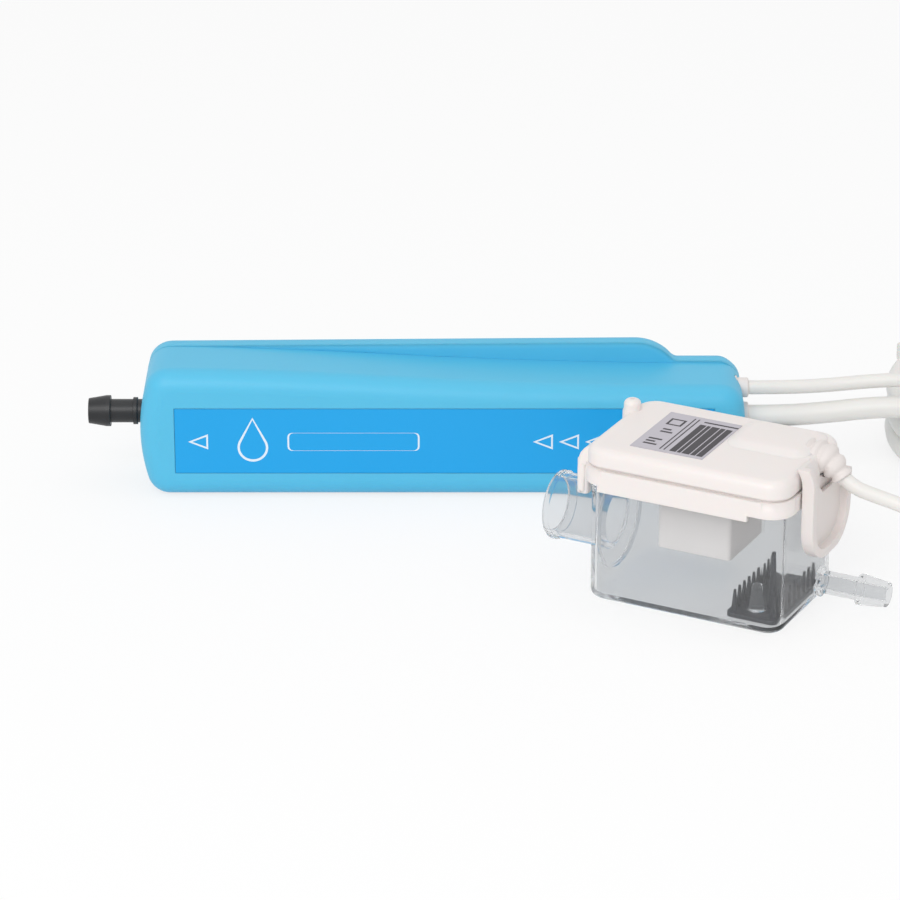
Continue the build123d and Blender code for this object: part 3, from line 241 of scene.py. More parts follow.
looks = {
    "casing": material("casing_plastic", CASING_BLUE, 0.45, mottle=0.02, edge_wear=0.1,
                       Subsurface_Weight=0.05, Subsurface_Scale=0.002, Specular_IOR_Level=0.4),
    "hump": material("casing_plastic_back", CASING_BLUE, 0.45, mottle=0.02, edge=0.0026, edge_wear=0.02,
                     Subsurface_Weight=0.05, Subsurface_Scale=0.002, Specular_IOR_Level=0.4),
    "panel": material("panel_film", LABEL_BLUE, 0.34, mottle=0.01, bump=0.03, Specular_IOR_Level=0.4),
    "ink": material("white_ink", srgb(226, 238, 246), 0.4, mottle=0.02, edge=0.00005),
    "barb": material("black_nylon", srgb(24, 25, 28), 0.4, mottle=0.12, bump=0.15, edge_wear=0.6),
    "lid": material("lid_plastic", LID_WHITE, 0.36, mottle=0.012, edge_wear=0.03,
                    Subsurface_Weight=0.08, Subsurface_Scale=0.002),
    "latch": material("latch_plastic", srgb(230, 223, 220), 0.36, mottle=0.015, edge_wear=0.03,
                      Subsurface_Weight=0.08, Subsurface_Scale=0.002),
    "clear": lets_light_in(
        material("clear_plastic", srgb(229, 230, 231), 0.09, mottle=0.01, grain=0.03, grain_scale=500,
                 bump=0.03, edge_wear=0.02, Transmission_Weight=0.94, IOR=1.14),
        srgb(250, 251, 252),
    ),
    "float": material("float_foam", srgb(246, 240, 236), 0.6, mottle=0.03, grain_scale=2600, bump=0.3),
    "filter": material("filter_plastic", srgb(38, 40, 47), 0.45, mottle=0.15, edge_wear=0.5),
    "paper": material("label_paper", srgb(190, 186, 194), 0.5, mottle=0.03, mottle_scale=300,
                      edge=0.0001),
    "print": material("label_print", srgb(48, 44, 50), 0.5, mottle=0.08, mottle_scale=900,
                      edge=0.00002),
    "pvc": material("pvc_jacket", PVC_WHITE, 0.42, mottle=0.02, mottle_scale=120, bump=0.12,
                    Subsurface_Weight=0.06, Subsurface_Scale=0.0015),
    "rubber": material("white_rubber", srgb(231, 224, 221), 0.5, mottle=0.02, bump=0.15),
    "tie": material("tie_nylon", srgb(232, 231, 226), 0.38, mottle=0.02, edge_wear=0.04,
                    Subsurface_Weight=0.15, Subsurface_Scale=0.001),
    "steel": material("zinc_steel", srgb(186, 188, 192), 0.32, mottle=0.06, Metallic=1.0, bump=0.1),
    "stainless": material("stainless_steel", srgb(200, 200, 202), 0.25, mottle=0.03, Metallic=1.0),
    "copper": material("copper_wire", srgb(196, 112, 66), 0.3, mottle=0.06, Metallic=1.0),
    "nylon": material("natural_nylon", srgb(224, 218, 202), 0.45, mottle=0.03),
    "seal": material("nitrile_rubber", srgb(42, 42, 44), 0.6, mottle=0.08, bump=0.2),
    "foam": material("mount_foam", srgb(62, 62, 66), 0.85, mottle=0.15, grain_scale=900, bump=0.6,
                     bump_depth=0.0002),
    "board": material("circuit_board", srgb(34, 92, 56), 0.35, mottle=0.12, mottle_scale=500),
    "chip": material("component_case", srgb(52, 52, 56), 0.4, mottle=0.08),
    "magnet": material("ferrite", srgb(70, 70, 74), 0.5, mottle=0.1),
    "hose": material("clear_hose", srgb(222, 226, 228), 0.2, mottle=0.01, Transmission_Weight=0.8),
    "core_brown": material("core_brown", srgb(112, 66, 38), 0.4),
    "core_blue": material("core_blue", srgb(34, 92, 178), 0.4),
    "core_green": material("core_green", srgb(66, 150, 62), 0.4),
}

node_looks = {
    "casing": ("casing_front",),
    "hump": ("casing_back",),
    "panel": ("label_panel",),
    "barb": ("outlet_barb", "inlet_barb", "valve_head", "inlet_cap"),
    "lid": ("lid_base", "lid_cover", "vent_tube"),
    "latch": ("latch",),
    "clear": ("tank",),
    "float": ("float_block",),
    "filter": ("filter_screen",),
    "paper": ("lid_label",),
    "rubber": ("grommet", "mains_gland", "sensor_gland"),
    "tie": ("cable_ties",),
    "steel": ("armature", "yoke", "casing_screws"),
    "stainless": (
        "pump_tube", "plunger", "outlet_spring", "inlet_spring", "buffer_spring", "main_spring",
        "float_clip",
    ),
    "copper": ("winding", "mains_cores"),
    "nylon": ("valve_retainer", "bobbin"),
    "seal": ("piston_seal", "outlet_valve", "inlet_valve", "lid_gasket"),
    "foam": ("foam_mount_left", "foam_mount_right"),
    "board": ("circuit_board", "sensor_board"),
    "chip": ("board_components",),
    "magnet": ("float_magnet",),
    "hose": ("suction_hose",),
    "pvc": ("mains_lead", "mains_coil", "mains_tail", "sensor_lead", "sensor_coil", "float_lead"),
}
for look, names in node_looks.items():
    for name in names:
        nodes[name].data.materials.clear()
        nodes[name].data.materials.append(looks[look])

# ---------------------------------------------------------------- leads
MAINS_DIAMETER = 6.2 * MM
SENSOR_DIAMETER = 4.0 * MM
COIL_CENTRE = Vector((171.5, 21.0, 0)) * MM
MAINS_TURN_RADIUS = 41.4 * MM
MAINS_TOP, MAINS_LOW = 23.3 * MM, 4.5 * MM
MAINS_STEPS = 3               # turns lie flat, and each steps down to the next near its end
SENSOR_OUTER_RADIUS = 35.6 * MM
SENSOR_INNER_RADIUS = 31.4 * MM
SENSOR_TOP, SENSOR_LOW = 23.7 * MM, 3.5 * MM
SENSOR_TURNS_DOWN = 4
POINTS_PER_TURN = 20
SWAY, SWAY_WAVES, SWAY_START = 0.3 * MM, 3, 0.7  # how far, how often in a turn, and from where
STEP_FROM = 0.45              # share of a turn after which the mains lead steps down to the next


def in_metres(points):
    """Points written in millimetres, as vectors in metres."""
    return [Vector(point) * MM for point in points]


def coil_angle(point):
    """The angle round the coil's middle, in turns from 0 to 1."""
    away = point - COIL_CENTRE
    return atan2(away.y, away.x) / (2 * pi) % 1


def coil_point(turns, radius, height):
    """A point of the coil.  The turns bulge and sway a little, all of them alike."""
    angle = 2 * pi * turns
    swayed = radius + SWAY * sin(SWAY_WAVES * angle + SWAY_START)
    return COIL_CENTRE + Vector((cos(angle) * swayed, sin(angle) * swayed, height))


def eased(share):
    """0 to 1, level at both ends."""
    share = min(1.0, max(0.0, share))
    return share * share * (3 - 2 * share)


mains_in = in_metres([
    (86.2, 0.0, 19.5), (97, 0, 19.5), (109, -0.1, 20.6), (121, -1.0, 22.4), (131.5, -3.6, 23.6),
])
mains_out = in_metres([
    (220.4, 26.8, 5.6), (223.1, 40.5, 4.4), (220.2, 54.2, 3.5), (212.2, 65.7, 3.3),
    (200.3, 73.1, 3.3), (186.5, 75.3, 3.3),
])
MAINS_ENTRY = coil_angle(Vector((141, -9, 0)) * MM)
MAINS_EXIT = coil_angle(Vector((212.6, 15.2, 0)) * MM)
mains_turns = MAINS_STEPS + (MAINS_EXIT - MAINS_ENTRY) % 1
mains_count = round(mains_turns * POINTS_PER_TURN)
mains_wound = []
for index in range(mains_count + 1):
    turned = mains_turns * index / mains_count
    step = int(turned) + eased((turned % 1 - STEP_FROM) / (1 - STEP_FROM))
    height = MAINS_TOP - (MAINS_TOP - MAINS_LOW) * step / MAINS_STEPS
    mains_wound.append(coil_point(MAINS_ENTRY + turned, MAINS_TURN_RADIUS, height))
mains_points = mains_in + mains_wound + mains_out

sensor_in = in_metres([
    (86.2, 2, 27.3), (97, 2, 27.3), (109, 2.4, 27.8), (120.5, 2.0, 29.2), (131, -0.8, 30.9),
    (141, -6, 31.2), (149, -10, 29.8), (156.5, -11.6, 26.4),
])
sensor_out = in_metres([
    (185.5, -9.9, 31.2), (195.2, -17.4, 32.9), (199.3, -28.5, 26.6), (197.5, -39, 15.3),
    (194, -51.5, 6.4), (189, -66, 2.8), (180, -80, 2.4), (167, -91, 2.6), (153.5, -96.6, 6.6),
    (142.5, -98.4, 15.6), (132.5, -97.6, 25.8), (122.5, -94.6, 32.2),
]) + [reservoir(69.5, 26, 34.2), reservoir(65.2, 26, 35.3), reservoir(61.8, 26, 37.7)]
SENSOR_ENTRY = coil_angle(Vector((164, -13.4, 0)) * MM)
SENSOR_EXIT = coil_angle(Vector((173, -10.5, 0)) * MM)
SENSOR_SHIFT = 0.14           # share of a turn in which the lead changes columns at the bottom
sensor_turns_up = SENSOR_TURNS_DOWN + (SENSOR_EXIT - SENSOR_ENTRY - SENSOR_SHIFT) % 1 - 1
sensor_wound = []
for index in range(SENSOR_TURNS_DOWN * POINTS_PER_TURN + 1):
    turned = index / POINTS_PER_TURN
    height = SENSOR_TOP - (SENSOR_TOP - SENSOR_LOW) * turned / SENSOR_TURNS_DOWN
    sensor_wound.append(coil_point(SENSOR_ENTRY + turned, SENSOR_OUTER_RADIUS, height))
up_start = SENSOR_ENTRY + SENSOR_TURNS_DOWN + SENSOR_SHIFT
up_count = round(sensor_turns_up * POINTS_PER_TURN)
for index in range(up_count + 1):
    turned = sensor_turns_up * index / up_count
    height = SENSOR_LOW + (SENSOR_TOP - SENSOR_LOW) * turned / sensor_turns_up
    sensor_wound.append(coil_point(up_start + turned, SENSOR_INNER_RADIUS, height))
sensor_points = sensor_in + sensor_wound + sensor_out


def lead_curve(name, points, diameter):
    """A lead as one smooth spline through the given points' polygon."""
    line = bpy.data.curves.new(name, "CURVE")
    line.dimensions = "3D"
    spline = line.splines.new("NURBS")
    spline.points.add(len(points) - 1)
    for place, point in zip(spline.points, points):
        place.co = (*point, 1)
    spline.order_u = 3
    spline.use_endpoint_u = True
    spline.resolution_u = 4
    line.bevel_depth = diameter / 2
    line.bevel_resolution = 4
    line.use_fill_caps = True
    return placed(name, line)


def as_shown(made):
    """A mesh of the object as it is shown, with its modifiers or its thickness."""
    bpy.context.view_layer.update()
    shown = made.evaluated_get(bpy.context.evaluated_depsgraph_get())
    return bpy.data.meshes.new_from_object(shown)


def followed(curve):
    """The points of a curve's own line.  A curve that stays in the scene is asked only once."""
    depth = curve.data.bevel_depth
    curve.data.bevel_depth = 0
    line = as_shown(curve)
    curve.data.bevel_depth = depth
    return [vertex.co.copy() for vertex in line.vertices]


mains_cord = lead_curve("mains_cord", mains_points, MAINS_DIAMETER)
mains_cord.data.materials.append(looks["pvc"])
mains_path = followed(mains_cord)
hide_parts("mains_lead", "mains_coil", "mains_tail")
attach(mains_cord, "root")

sensor_curve = lead_curve("sensor_curve", sensor_points, SENSOR_DIAMETER)
sensor_path = followed(sensor_curve)
sensor_mesh = as_shown(sensor_curve)
bpy.data.objects.remove(sensor_curve)
for face in sensor_mesh.polygons:
    face.use_smooth = True
sensor_mesh.materials.clear()
sensor_mesh.materials.append(looks["pvc"])
sensor_cord = placed("sensor_cord", sensor_mesh)
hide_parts("sensor_lead", "sensor_coil", "float_lead")
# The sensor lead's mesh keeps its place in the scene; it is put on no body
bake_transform(sensor_cord)

# Cores at the mains lead's end, each with its look and the way that it is splayed
CORES = (("core_brown", -1), ("core_blue", 1), ("core_green", 0))
CORE_DIAMETER, WIRE_DIAMETER = 2.2 * MM, 1.1 * MM
CORE_LENGTH = 14 * MM
CORE_TUCK = 1 * MM                        # how far a core starts inside the lead or its jacket
CORE_SPREAD = 1.35 * MM
CORE_SPLAY, CORE_TIP_SPLAY = 1.6 * MM, 2.56 * MM
CORE_STRAIGHT, CORE_SPLAYED = 0.3, 0.7    # shares of the length: straight up to, and splayed from
CORE_COVERED = 0.1                        # share of the last stretch that the jacket covers
core_start = mains_points[-1]
core_heading = (mains_points[-1] - mains_points[-2]).normalized()
core_side = core_heading.cross(UP).normalized()
for index, (look, way) in enumerate(CORES):
    angle = pi / 2 + 2 * pi * index / len(CORES)
    outward = (core_side * cos(angle) + UP * sin(angle)) * CORE_SPREAD
    route = [
        core_start + core_heading * reach + outward + core_side * splay * way
        for reach, splay in (
            (-CORE_TUCK, 0), (CORE_LENGTH * CORE_STRAIGHT, 0),
            (CORE_LENGTH * CORE_SPLAYED, CORE_SPLAY), (CORE_LENGTH, CORE_TIP_SPLAY),
        )
    ]
    jacket_end = route[2].lerp(route[3], CORE_COVERED)
    jacket = lead_curve(f"{look}_jacket", route[:2] + [jacket_end], CORE_DIAMETER)
    jacket.data.materials.append(looks[look])
    wire_route = [jacket_end - core_heading * CORE_TUCK, jacket_end, route[3]]
    wire = lead_curve(f"{look}_wire", wire_route, WIRE_DIAMETER)
    wire.data.materials.append(looks["copper"])
    for piece in (jacket, wire):
        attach(piece, "root")
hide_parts("mains_cores")


def settle(made):
    """Keeps what the piece's modifiers have made of it."""
    mesh = as_shown(made)
    made.modifiers.clear()
    made.data = mesh


ROUNDING_SEGMENTS, ROUNDING_ANGLE = 3, radians(50)
SHARP_ANGLE = radians(40)


def round_edges(made, width):
    """Rounds the piece's sharp edges over the width, in metres."""
    rounding = made.modifiers.new("rounding", "BEVEL")
    rounding.width = width
    rounding.segments = ROUNDING_SEGMENTS
    rounding.limit_method = "ANGLE"
    rounding.angle_limit = ROUNDING_ANGLE
    settle(made)


def cut_away(made, tool):
    """Cuts the tool's shape out of the piece, and removes the tool."""
    cutting = made.modifiers.new("cut", "BOOLEAN")
    cutting.operation = "DIFFERENCE"
    cutting.object = tool
    settle(made)
    bpy.data.objects.remove(tool)


def piece_from(name, shape, look, body=None, edge=0.0):
    """A finished piece from a bmesh, on its body, with its sharp edges rounded over the width edge."""
    bmesh.ops.recalc_face_normals(shape, faces=shape.faces)
    mesh = bpy.data.meshes.new(name)
    shape.to_mesh(mesh)
    shape.free()
    for face in mesh.polygons:
        face.use_smooth = True
    mesh.set_sharp_from_angle(angle=SHARP_ANGLE)
    mesh.materials.append(looks[look])
    made = placed(name, mesh)
    if edge:
        round_edges(made, edge)
    if body:
        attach(made, body)
    return made


def join_rows(shape, rows):
    """Adds the faces between each closed row of vertices and the next."""
    for low, high in zip(rows, rows[1:]):
        for index in range(len(low)):
            after = (index + 1) % len(low)
            shape.faces.new((low[index], low[after], high[after], high[index]))


def stacked(rings, ends=True):
    """A shape through rings of points, each with as many points as the next.

    The first and the last ring are its ends.  Without ends, the last is joined to the first.
    """
    shape = bmesh.new()
    rows = [[shape.verts.new(point) for point in ring] for ring in rings]
    if ends:
        join_rows(shape, rows)
        shape.faces.new(rows[0][::-1])
        shape.faces.new(rows[-1])
    else:
        join_rows(shape, rows + rows[:1])
    return shape


def round_turn(count):
    """Angles spread evenly round a full turn."""
    return [2 * pi * step / count for step in range(count)]


# The coil's ties: straps drawn tight around the turns, each with a head on the outside
TIE_ANGLES = (140.0, 320.0)
TIE_HALF_WIDTH, TIE_THICKNESS, TIE_SLACK = 2.0 * MM, 1.1 * MM, 0.15 * MM
TIE_FLOOR = 0.1 * MM
TIE_STEPS = 72
TIE_EDGE = 0.2 * MM
TIE_SECTION = (               # the strap's corners: how far off the turns, and how far to the side
    (TIE_SLACK, -TIE_HALF_WIDTH), (TIE_SLACK, TIE_HALF_WIDTH),
    (TIE_SLACK + TIE_THICKNESS, TIE_HALF_WIDTH), (TIE_SLACK + TIE_THICKNESS, -TIE_HALF_WIDTH),
)
HEAD_HALF_DEPTH, HEAD_HALF_WIDTH, HEAD_HALF_HEIGHT = 1.9 * MM, 2.7 * MM, 2.6 * MM
HEAD_EDGE = 0.6 * MM


def crossings(path, along, across, radius):
    """Where the path crosses the half plane along from the coil's middle: (reach, height, radius)."""
    found = []
    for before, after in zip(path, path[1:]):
        start, end = before - COIL_CENTRE, after - COIL_CENTRE
        if start.dot(across) * end.dot(across) > 0 or start.dot(along) < 0:
            continue
        span = end.dot(across) - start.dot(across)
        point = start.lerp(end, -start.dot(across) / span if span else 0)
        if point.dot(along) < MAINS_TURN_RADIUS + MAINS_DIAMETER:
            found.append((point.dot(along), point.z, radius))
    return found


for tie_angle in TIE_ANGLES:
    along = Vector((cos(radians(tie_angle)), sin(radians(tie_angle)), 0))
    across = UP.cross(along)
    turns = crossings(mains_path, along, across, MAINS_DIAMETER / 2)
    turns += crossings(sensor_path, along, across, SENSOR_DIAMETER / 2)
    rings = [[] for corner in TIE_SECTION]
    for facing in round_turn(TIE_STEPS):
        side, rise = cos(facing), sin(facing)
        reach, height, radius = max(turns, key=lambda turn: turn[0] * side + turn[1] * rise + turn[2])
        for ring, (layer, width) in zip(rings, TIE_SECTION):
            out = radius + layer
            lowest = TIE_FLOOR + (0 if layer > TIE_SLACK else TIE_THICKNESS / 2)
            level = max(height + out * rise, lowest)
            ring.append(COIL_CENTRE + along * (reach + out * side) + across * width + UP * level)
    strap = stacked(rings, ends=False)
    piece_from(f"tie_strap_{tie_angle:.0f}", strap, "tie", "root", edge=TIE_EDGE)
    reach, height, radius = max(turns, key=lambda turn: turn[0] + turn[2])
    head_middle = COIL_CENTRE + UP * height + along * (reach + radius + HEAD_HALF_DEPTH)
    head = stacked([
        [
            head_middle + along * HEAD_HALF_DEPTH * out + across * HEAD_HALF_WIDTH * side
            + UP * HEAD_HALF_HEIGHT * level
            for out, side in SQUARE
        ]
        for level in (-1, 1)
    ])
    piece_from(f"tie_head_{tie_angle:.0f}", head, "tie", "root", edge=HEAD_EDGE)
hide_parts("cable_ties")


# ---------------------------------------------------------------- finer forms of the moulded parts
LEAST_CORNER = 0.3            # mm, where an inset would leave a corner no radius
CUT_PAST = 1.0                # mm, how far a cutting shape reaches past what it cuts


def arc(middle, radius, first, last, step):
    """Points of an arc round the middle, from the first angle up to the last, in degrees."""
    return [
        (middle[0] + radius * cos(radians(angle)), middle[1] + radius * sin(radians(angle)))
        for angle in range(first, last + 1, step)
    ]


def rounded_box(length, width, corner, inset, middle, step=15):
    """The outline of a box with round corners, drawn in by inset, as points in mm."""
    corner = max(corner - inset, LEAST_CORNER)
    half_u, half_v = length / 2 - inset - corner, width / 2 - inset - corner
    outline = []
    for first, side_u, side_v in ((0, 1, 1), (90, -1, 1), (180, -1, -1), (270, 1, -1)):
        corner_middle = (middle[0] + side_u * half_u, middle[1] + side_v * half_v)
        outline += arc(corner_middle, corner, first, first + 90, step)
    return outline


def lid_block(length, width, corner, middle, profile):
    """A block with round corners, standing on the lid.  The profile holds (inset, height) steps."""
    return stacked([
        [reservoir(u, v, height) for u, v in rounded_box(length, width, corner, inset, middle)]
        for inset, height in profile
    ])


def rounded_top(inset, top, radius, steps=5):
    """Profile steps of an edge rounded over from a wall at inset to the level top."""
    return [
        (inset + radius * (1 - cos(angle)), top - radius * (1 - sin(angle)))
        for angle in (pi / 2 * step / steps for step in range(steps + 1))
    ]


def copied(node, name, look, body):
    """A piece with the shape of a CAD node, to be worked on."""
    made = placed(name, nodes[node].data.copy())
    made.data.materials.clear()
    made.data.materials.append(looks[look])
    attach(made, body)
    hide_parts(node)
    return made


TANK_LENGTH, TANK_WIDTH = 56.0, 38.0
TANK_MIDDLE = (TANK_LENGTH / 2, TANK_WIDTH / 2)
LID_LENGTH, LID_WIDTH, LID_CORNER = 59.2, 41.2, 6.6
LID_SEAM, LID_TOP = 38.8, 44.0
COVER_INSET, COVER_RADIUS, COVER_WALL = 0.45, 2.6, 1.5
COVER_UNDERCUT = 0.35

# The lid's cover, whose lower edge is drawn in over the seam
cover_profile = [
    (COVER_INSET + COVER_UNDERCUT, LID_SEAM), (COVER_INSET, LID_SEAM + COVER_UNDERCUT),
    *rounded_top(COVER_INSET, LID_TOP, COVER_RADIUS),
]
cavity_inset = COVER_INSET + COVER_WALL
cavity_profile = [(cavity_inset, LID_SEAM - CUT_PAST), (cavity_inset, LID_TOP - COVER_WALL)]
cover, cavity = (
    piece_from(name, lid_block(LID_LENGTH, LID_WIDTH, LID_CORNER, TANK_MIDDLE, profile), "lid")
    for name, profile in (("cover_form", cover_profile), ("cover_cavity", cavity_profile))
)
cut_away(cover, cavity)
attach(cover, "lid")
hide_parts("lid_cover")

# The raised channel over the lead, which dies away into the cover
RIDGE_LENGTH, RIDGE_WIDTH, RIDGE_CORNER, RIDGE_TOP = 23.8, 20.7, 5.0, 45.35
RIDGE_MIDDLE = (43.1, 26.9)
ridge_profile = [
    (0, LID_TOP - 0.1), (0.5, LID_TOP + 0.1), (2.4, RIDGE_TOP - 0.35),
    (3.0, RIDGE_TOP - 0.13), (3.8, RIDGE_TOP),
]
ridge_block = lid_block(RIDGE_LENGTH, RIDGE_WIDTH, RIDGE_CORNER, RIDGE_MIDDLE, ridge_profile)
piece_from("ridge_form", ridge_block, "lid", "lid")

# The base, with a shadow groove under the cover
base = copied("lid_base", "base_form", "lid", "lid")
GROOVE_HEIGHT, GROOVE_DEPTH, GROOVE_REACH = 0.55, 1.3, 4.0
groove_outer, groove_inner = (
    rounded_box(LID_LENGTH, LID_WIDTH, LID_CORNER, inset, TANK_MIDDLE)
    for inset in (-GROOVE_REACH, GROOVE_DEPTH)
)
groove_low, groove_high = LID_SEAM - GROOVE_HEIGHT, LID_SEAM + CUT_PAST
groove_rings = [
    [reservoir(u, v, height) for u, v in outline]
    for outline, height in (
        (groove_outer, groove_low), (groove_outer, groove_high),
        (groove_inner, groove_high), (groove_inner, groove_low),
    )
]
cut_away(base, piece_from("seam_groove", stacked(groove_rings, ends=False), "lid"))

# The vent's pin, domed and a little wider at its foot
VENT_U, VENT_V, VENT_RADIUS, VENT_TOP = -0.2, 29.0, 2.35, 46.8
VENT_DOME, VENT_SIDES = 1.5, 32
vent_profile = [
    (VENT_RADIUS + 0.35, LID_SEAM), (VENT_RADIUS + 0.3, LID_TOP - 0.6), (VENT_RADIUS, LID_TOP + 0.2),
    *((VENT_RADIUS - inset, height) for inset, height in rounded_top(0, VENT_TOP, VENT_DOME)),
    (0.5, VENT_TOP), (0.42, VENT_TOP - 0.3), (0.4, VENT_TOP - 2.0),  # the bore in its top
]
vent_rings = [
    [
        reservoir(VENT_U + radius * cos(angle), VENT_V + radius * sin(angle), height)
        for angle in round_turn(VENT_SIDES)
    ]
    for radius, height in vent_profile
]
vent = piece_from("vent_form", stacked(vent_rings), "lid", "lid")
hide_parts("vent_tube")

# The thumb latch: a rim round a recess, open at the top.  The near arm curls in over the lid's edge,
# and the far one ends under the lead's boot.
LATCH_START_V, LATCH_END_V, LATCH_LOW, LATCH_TOP = 8.4, 34.4, 17.6, 45.0
LATCH_BACK_U, LATCH_PLATE, LATCH_RIM, LATCH_DEPTH = 58.05, 1.2, 2.5, 3.4
LATCH_CORNER, LATCH_CORNER_STEP, LATCH_EDGE = 10.5, 9, 0.65 * MM
LATCH_FRONT_U = LATCH_BACK_U + LATCH_DEPTH
LATCH_CUT_TOP, LATCH_CUT_FRONT, LATCH_CUT_SIDE = LATCH_TOP + 5, LATCH_FRONT_U + 2, LATCH_END_V + 2


def u_outline(inset, top):
    """The latch's outline, open upwards, as (v, w) in mm."""
    left, right, low = LATCH_START_V + inset, LATCH_END_V - inset, LATCH_LOW + inset
    corner = LATCH_CORNER - inset
    left_corner = arc((left + corner, low + corner), corner, 180, 270, LATCH_CORNER_STEP)
    right_corner = arc((right - corner, low + corner), corner, 270, 360, LATCH_CORNER_STEP)
    return [(left, top), *left_corner, *right_corner, (right, top)]


def latch_piece(name, outline, u_start, u_end):
    """A piece with an outline of (v, w), from one place along the reservoir to another."""
    rings = [[reservoir(u, v, w) for v, w in outline] for u in (u_start, u_end)]
    return piece_from(name, stacked(rings), "latch")


NOTCH_START, NOTCH_LOW = 17.6, 34.8
notch_outline = [
    (NOTCH_START, LATCH_CUT_TOP), (NOTCH_START, 37.5), (NOTCH_START + 2.5, NOTCH_LOW),
    (31.0, NOTCH_LOW), (32.0, 37.0), (LATCH_CUT_SIDE, 37.4), (LATCH_CUT_SIDE, LATCH_CUT_TOP),
]
recess_outline = u_outline(LATCH_RIM, LATCH_CUT_TOP)
recess_start = LATCH_BACK_U + LATCH_PLATE
latch = latch_piece("latch_form", u_outline(0, LATCH_TOP), LATCH_BACK_U, LATCH_FRONT_U)
cut_away(latch, latch_piece("latch_recess", recess_outline, recess_start, LATCH_CUT_FRONT))
cut_away(latch, latch_piece("latch_notch", notch_outline, LATCH_BACK_U - CUT_PAST, LATCH_CUT_FRONT))
round_edges(latch, LATCH_EDGE)

LEAN_START, LEAN = 40.2, 1.7  # the arm curls in above this height, by this much at its top
LEAN_CUTS = (39.6, 40.6, 41.6, 42.6, 43.6, 44.4)  # heights of the cross edges that let it curl
curled = bmesh.new()
curled.from_mesh(latch.data)
for height in LEAN_CUTS:
    bmesh.ops.bisect_plane(
        curled, geom=[*curled.verts, *curled.edges, *curled.faces],
        plane_co=UP * height * MM, plane_no=UP,
    )
for vertex in curled.verts:
    rise = (vertex.co.z / MM - LEAN_START) / (LATCH_TOP - LEAN_START)
    if rise > 0:
        vertex.co -= ALONG * LEAN * MM * rise * rise
curled.to_mesh(latch.data)
curled.free()
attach(latch, "latch")
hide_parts("latch")

# The lead's ribbed boot, which runs level out of the lid and then bends over its edge
BOOT_START, BOOT_BEND = (52.0, 41.3), (56.4, 41.3)
BOOT_TURN, BOOT_MOUTH = (59.4, 40.8), (62.2, 37.2)
BOOT_LEVEL = 0.4                                 # share of the boot before the bend
BOOT_NARROWS = 0.3                               # share of the boot before it narrows
BOOT_ROOT_RADIUS, BOOT_MOUTH_RADIUS = 4.35, 3.0
BOOT_ROOT_HALF, BOOT_MOUTH_HALF = 6.2, 3.3       # across the lead
BOOT_ROOT_V, BOOT_MOUTH_V = 27.0, 26.0
BOOT_RIBS, BOOT_GROOVE, BOOT_LIP = 4, 0.75, 0.35
BOOT_RINGS, BOOT_SIDES = 72, 40


def between(start, end, share):
    """The value at a share of the way from the start to the end."""
    return start + (end - start) * share


def boot_place(share):
    """The point (u, w) and heading along the boot's middle line."""
    if share < BOOT_LEVEL:
        point = [between(start, end, share / BOOT_LEVEL) for start, end in zip(BOOT_START, BOOT_BEND)]
        return point, (1.0, 0.0)
    along = (share - BOOT_LEVEL) / (1 - BOOT_LEVEL)
    point, heading = [], []
    for start, turn, end in zip(BOOT_BEND, BOOT_TURN, BOOT_MOUTH):
        point.append(between(between(start, turn, along), between(turn, end, along), along))
        heading.append(between(turn - start, end - turn, along))
    size = hypot(*heading)
    return point, (heading[0] / size, heading[1] / size)


boot_rings = []
for index in range(BOOT_RINGS + 1):
    share = index / BOOT_RINGS
    (u, w), (run, rise) = boot_place(share)
    narrowed = eased((share - BOOT_NARROWS) / (1 - BOOT_NARROWS))
    cut = BOOT_GROOVE * (0.5 - 0.5 * cos(2 * pi * BOOT_RIBS * share)) ** 2
    if index == BOOT_RINGS:
        cut += BOOT_LIP
    radius = between(BOOT_ROOT_RADIUS, BOOT_MOUTH_RADIUS, narrowed) - cut
    half = between(BOOT_ROOT_HALF, BOOT_MOUTH_HALF, narrowed) - cut
    v = between(BOOT_ROOT_V, BOOT_MOUTH_V, narrowed)
    boot_rings.append([
        reservoir(u - rise * radius * sin(angle), v + half * cos(angle), w + run * radius * sin(angle))
        for angle in round_turn(BOOT_SIDES)
    ])
boot = piece_from("lead_boot", stacked(boot_rings), "rubber", "lid")
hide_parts("grommet")

# The back shell's top rises a little from the outlet end and stays high up to its step
CROWN, CROWN_START, CROWN_FULL = 1.1 * MM, -81.5 * MM, -55.7 * MM
CROWN_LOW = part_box("sensor_gland")[1].z + 0.3 * MM  # nothing below this height is lifted
CROWN_BLEND = 3 * MM                                # height over which the lift grows
hump = copied("casing_back", "back_form", "hump", "root")
for vertex in hump.data.vertices:
    lifted = eased((vertex.co.z - CROWN_LOW) / CROWN_BLEND)
    risen = eased((vertex.co.x - CROWN_START) / (CROWN_FULL - CROWN_START))
    vertex.co.z += CROWN * lifted * risen

# The lid's guide hooks, which curve out of the cover's end and hang over the tank's rim
HOOK_HALF, HOOK_EDGE = 2.4, 0.8 * MM
HOOKS = (("hook_front", 5.0), ("hook_back", 33.0))
hook_outline = [
    (0.9, 42.9), (-0.7, 42.5), (-2.1, 41.6), (-3.2, 40.2), (-3.8, 38.4), (-3.95, 36.0), (-3.95, 30.6),
    (-3.7, 29.4), (-2.9, 28.7), (-2.2, 28.8), (-1.8, 29.6), (-1.75, 31.5), (-1.7, 37.0), (0.9, 37.2),
]
for hook_name, hook_v in HOOKS:
    sides = (hook_v - HOOK_HALF, hook_v + HOOK_HALF)
    hook_rings = [[reservoir(u, v, w) for u, w in hook_outline] for v in sides]
    piece_from(hook_name, stacked(hook_rings), "lid", "lid", edge=HOOK_EDGE)


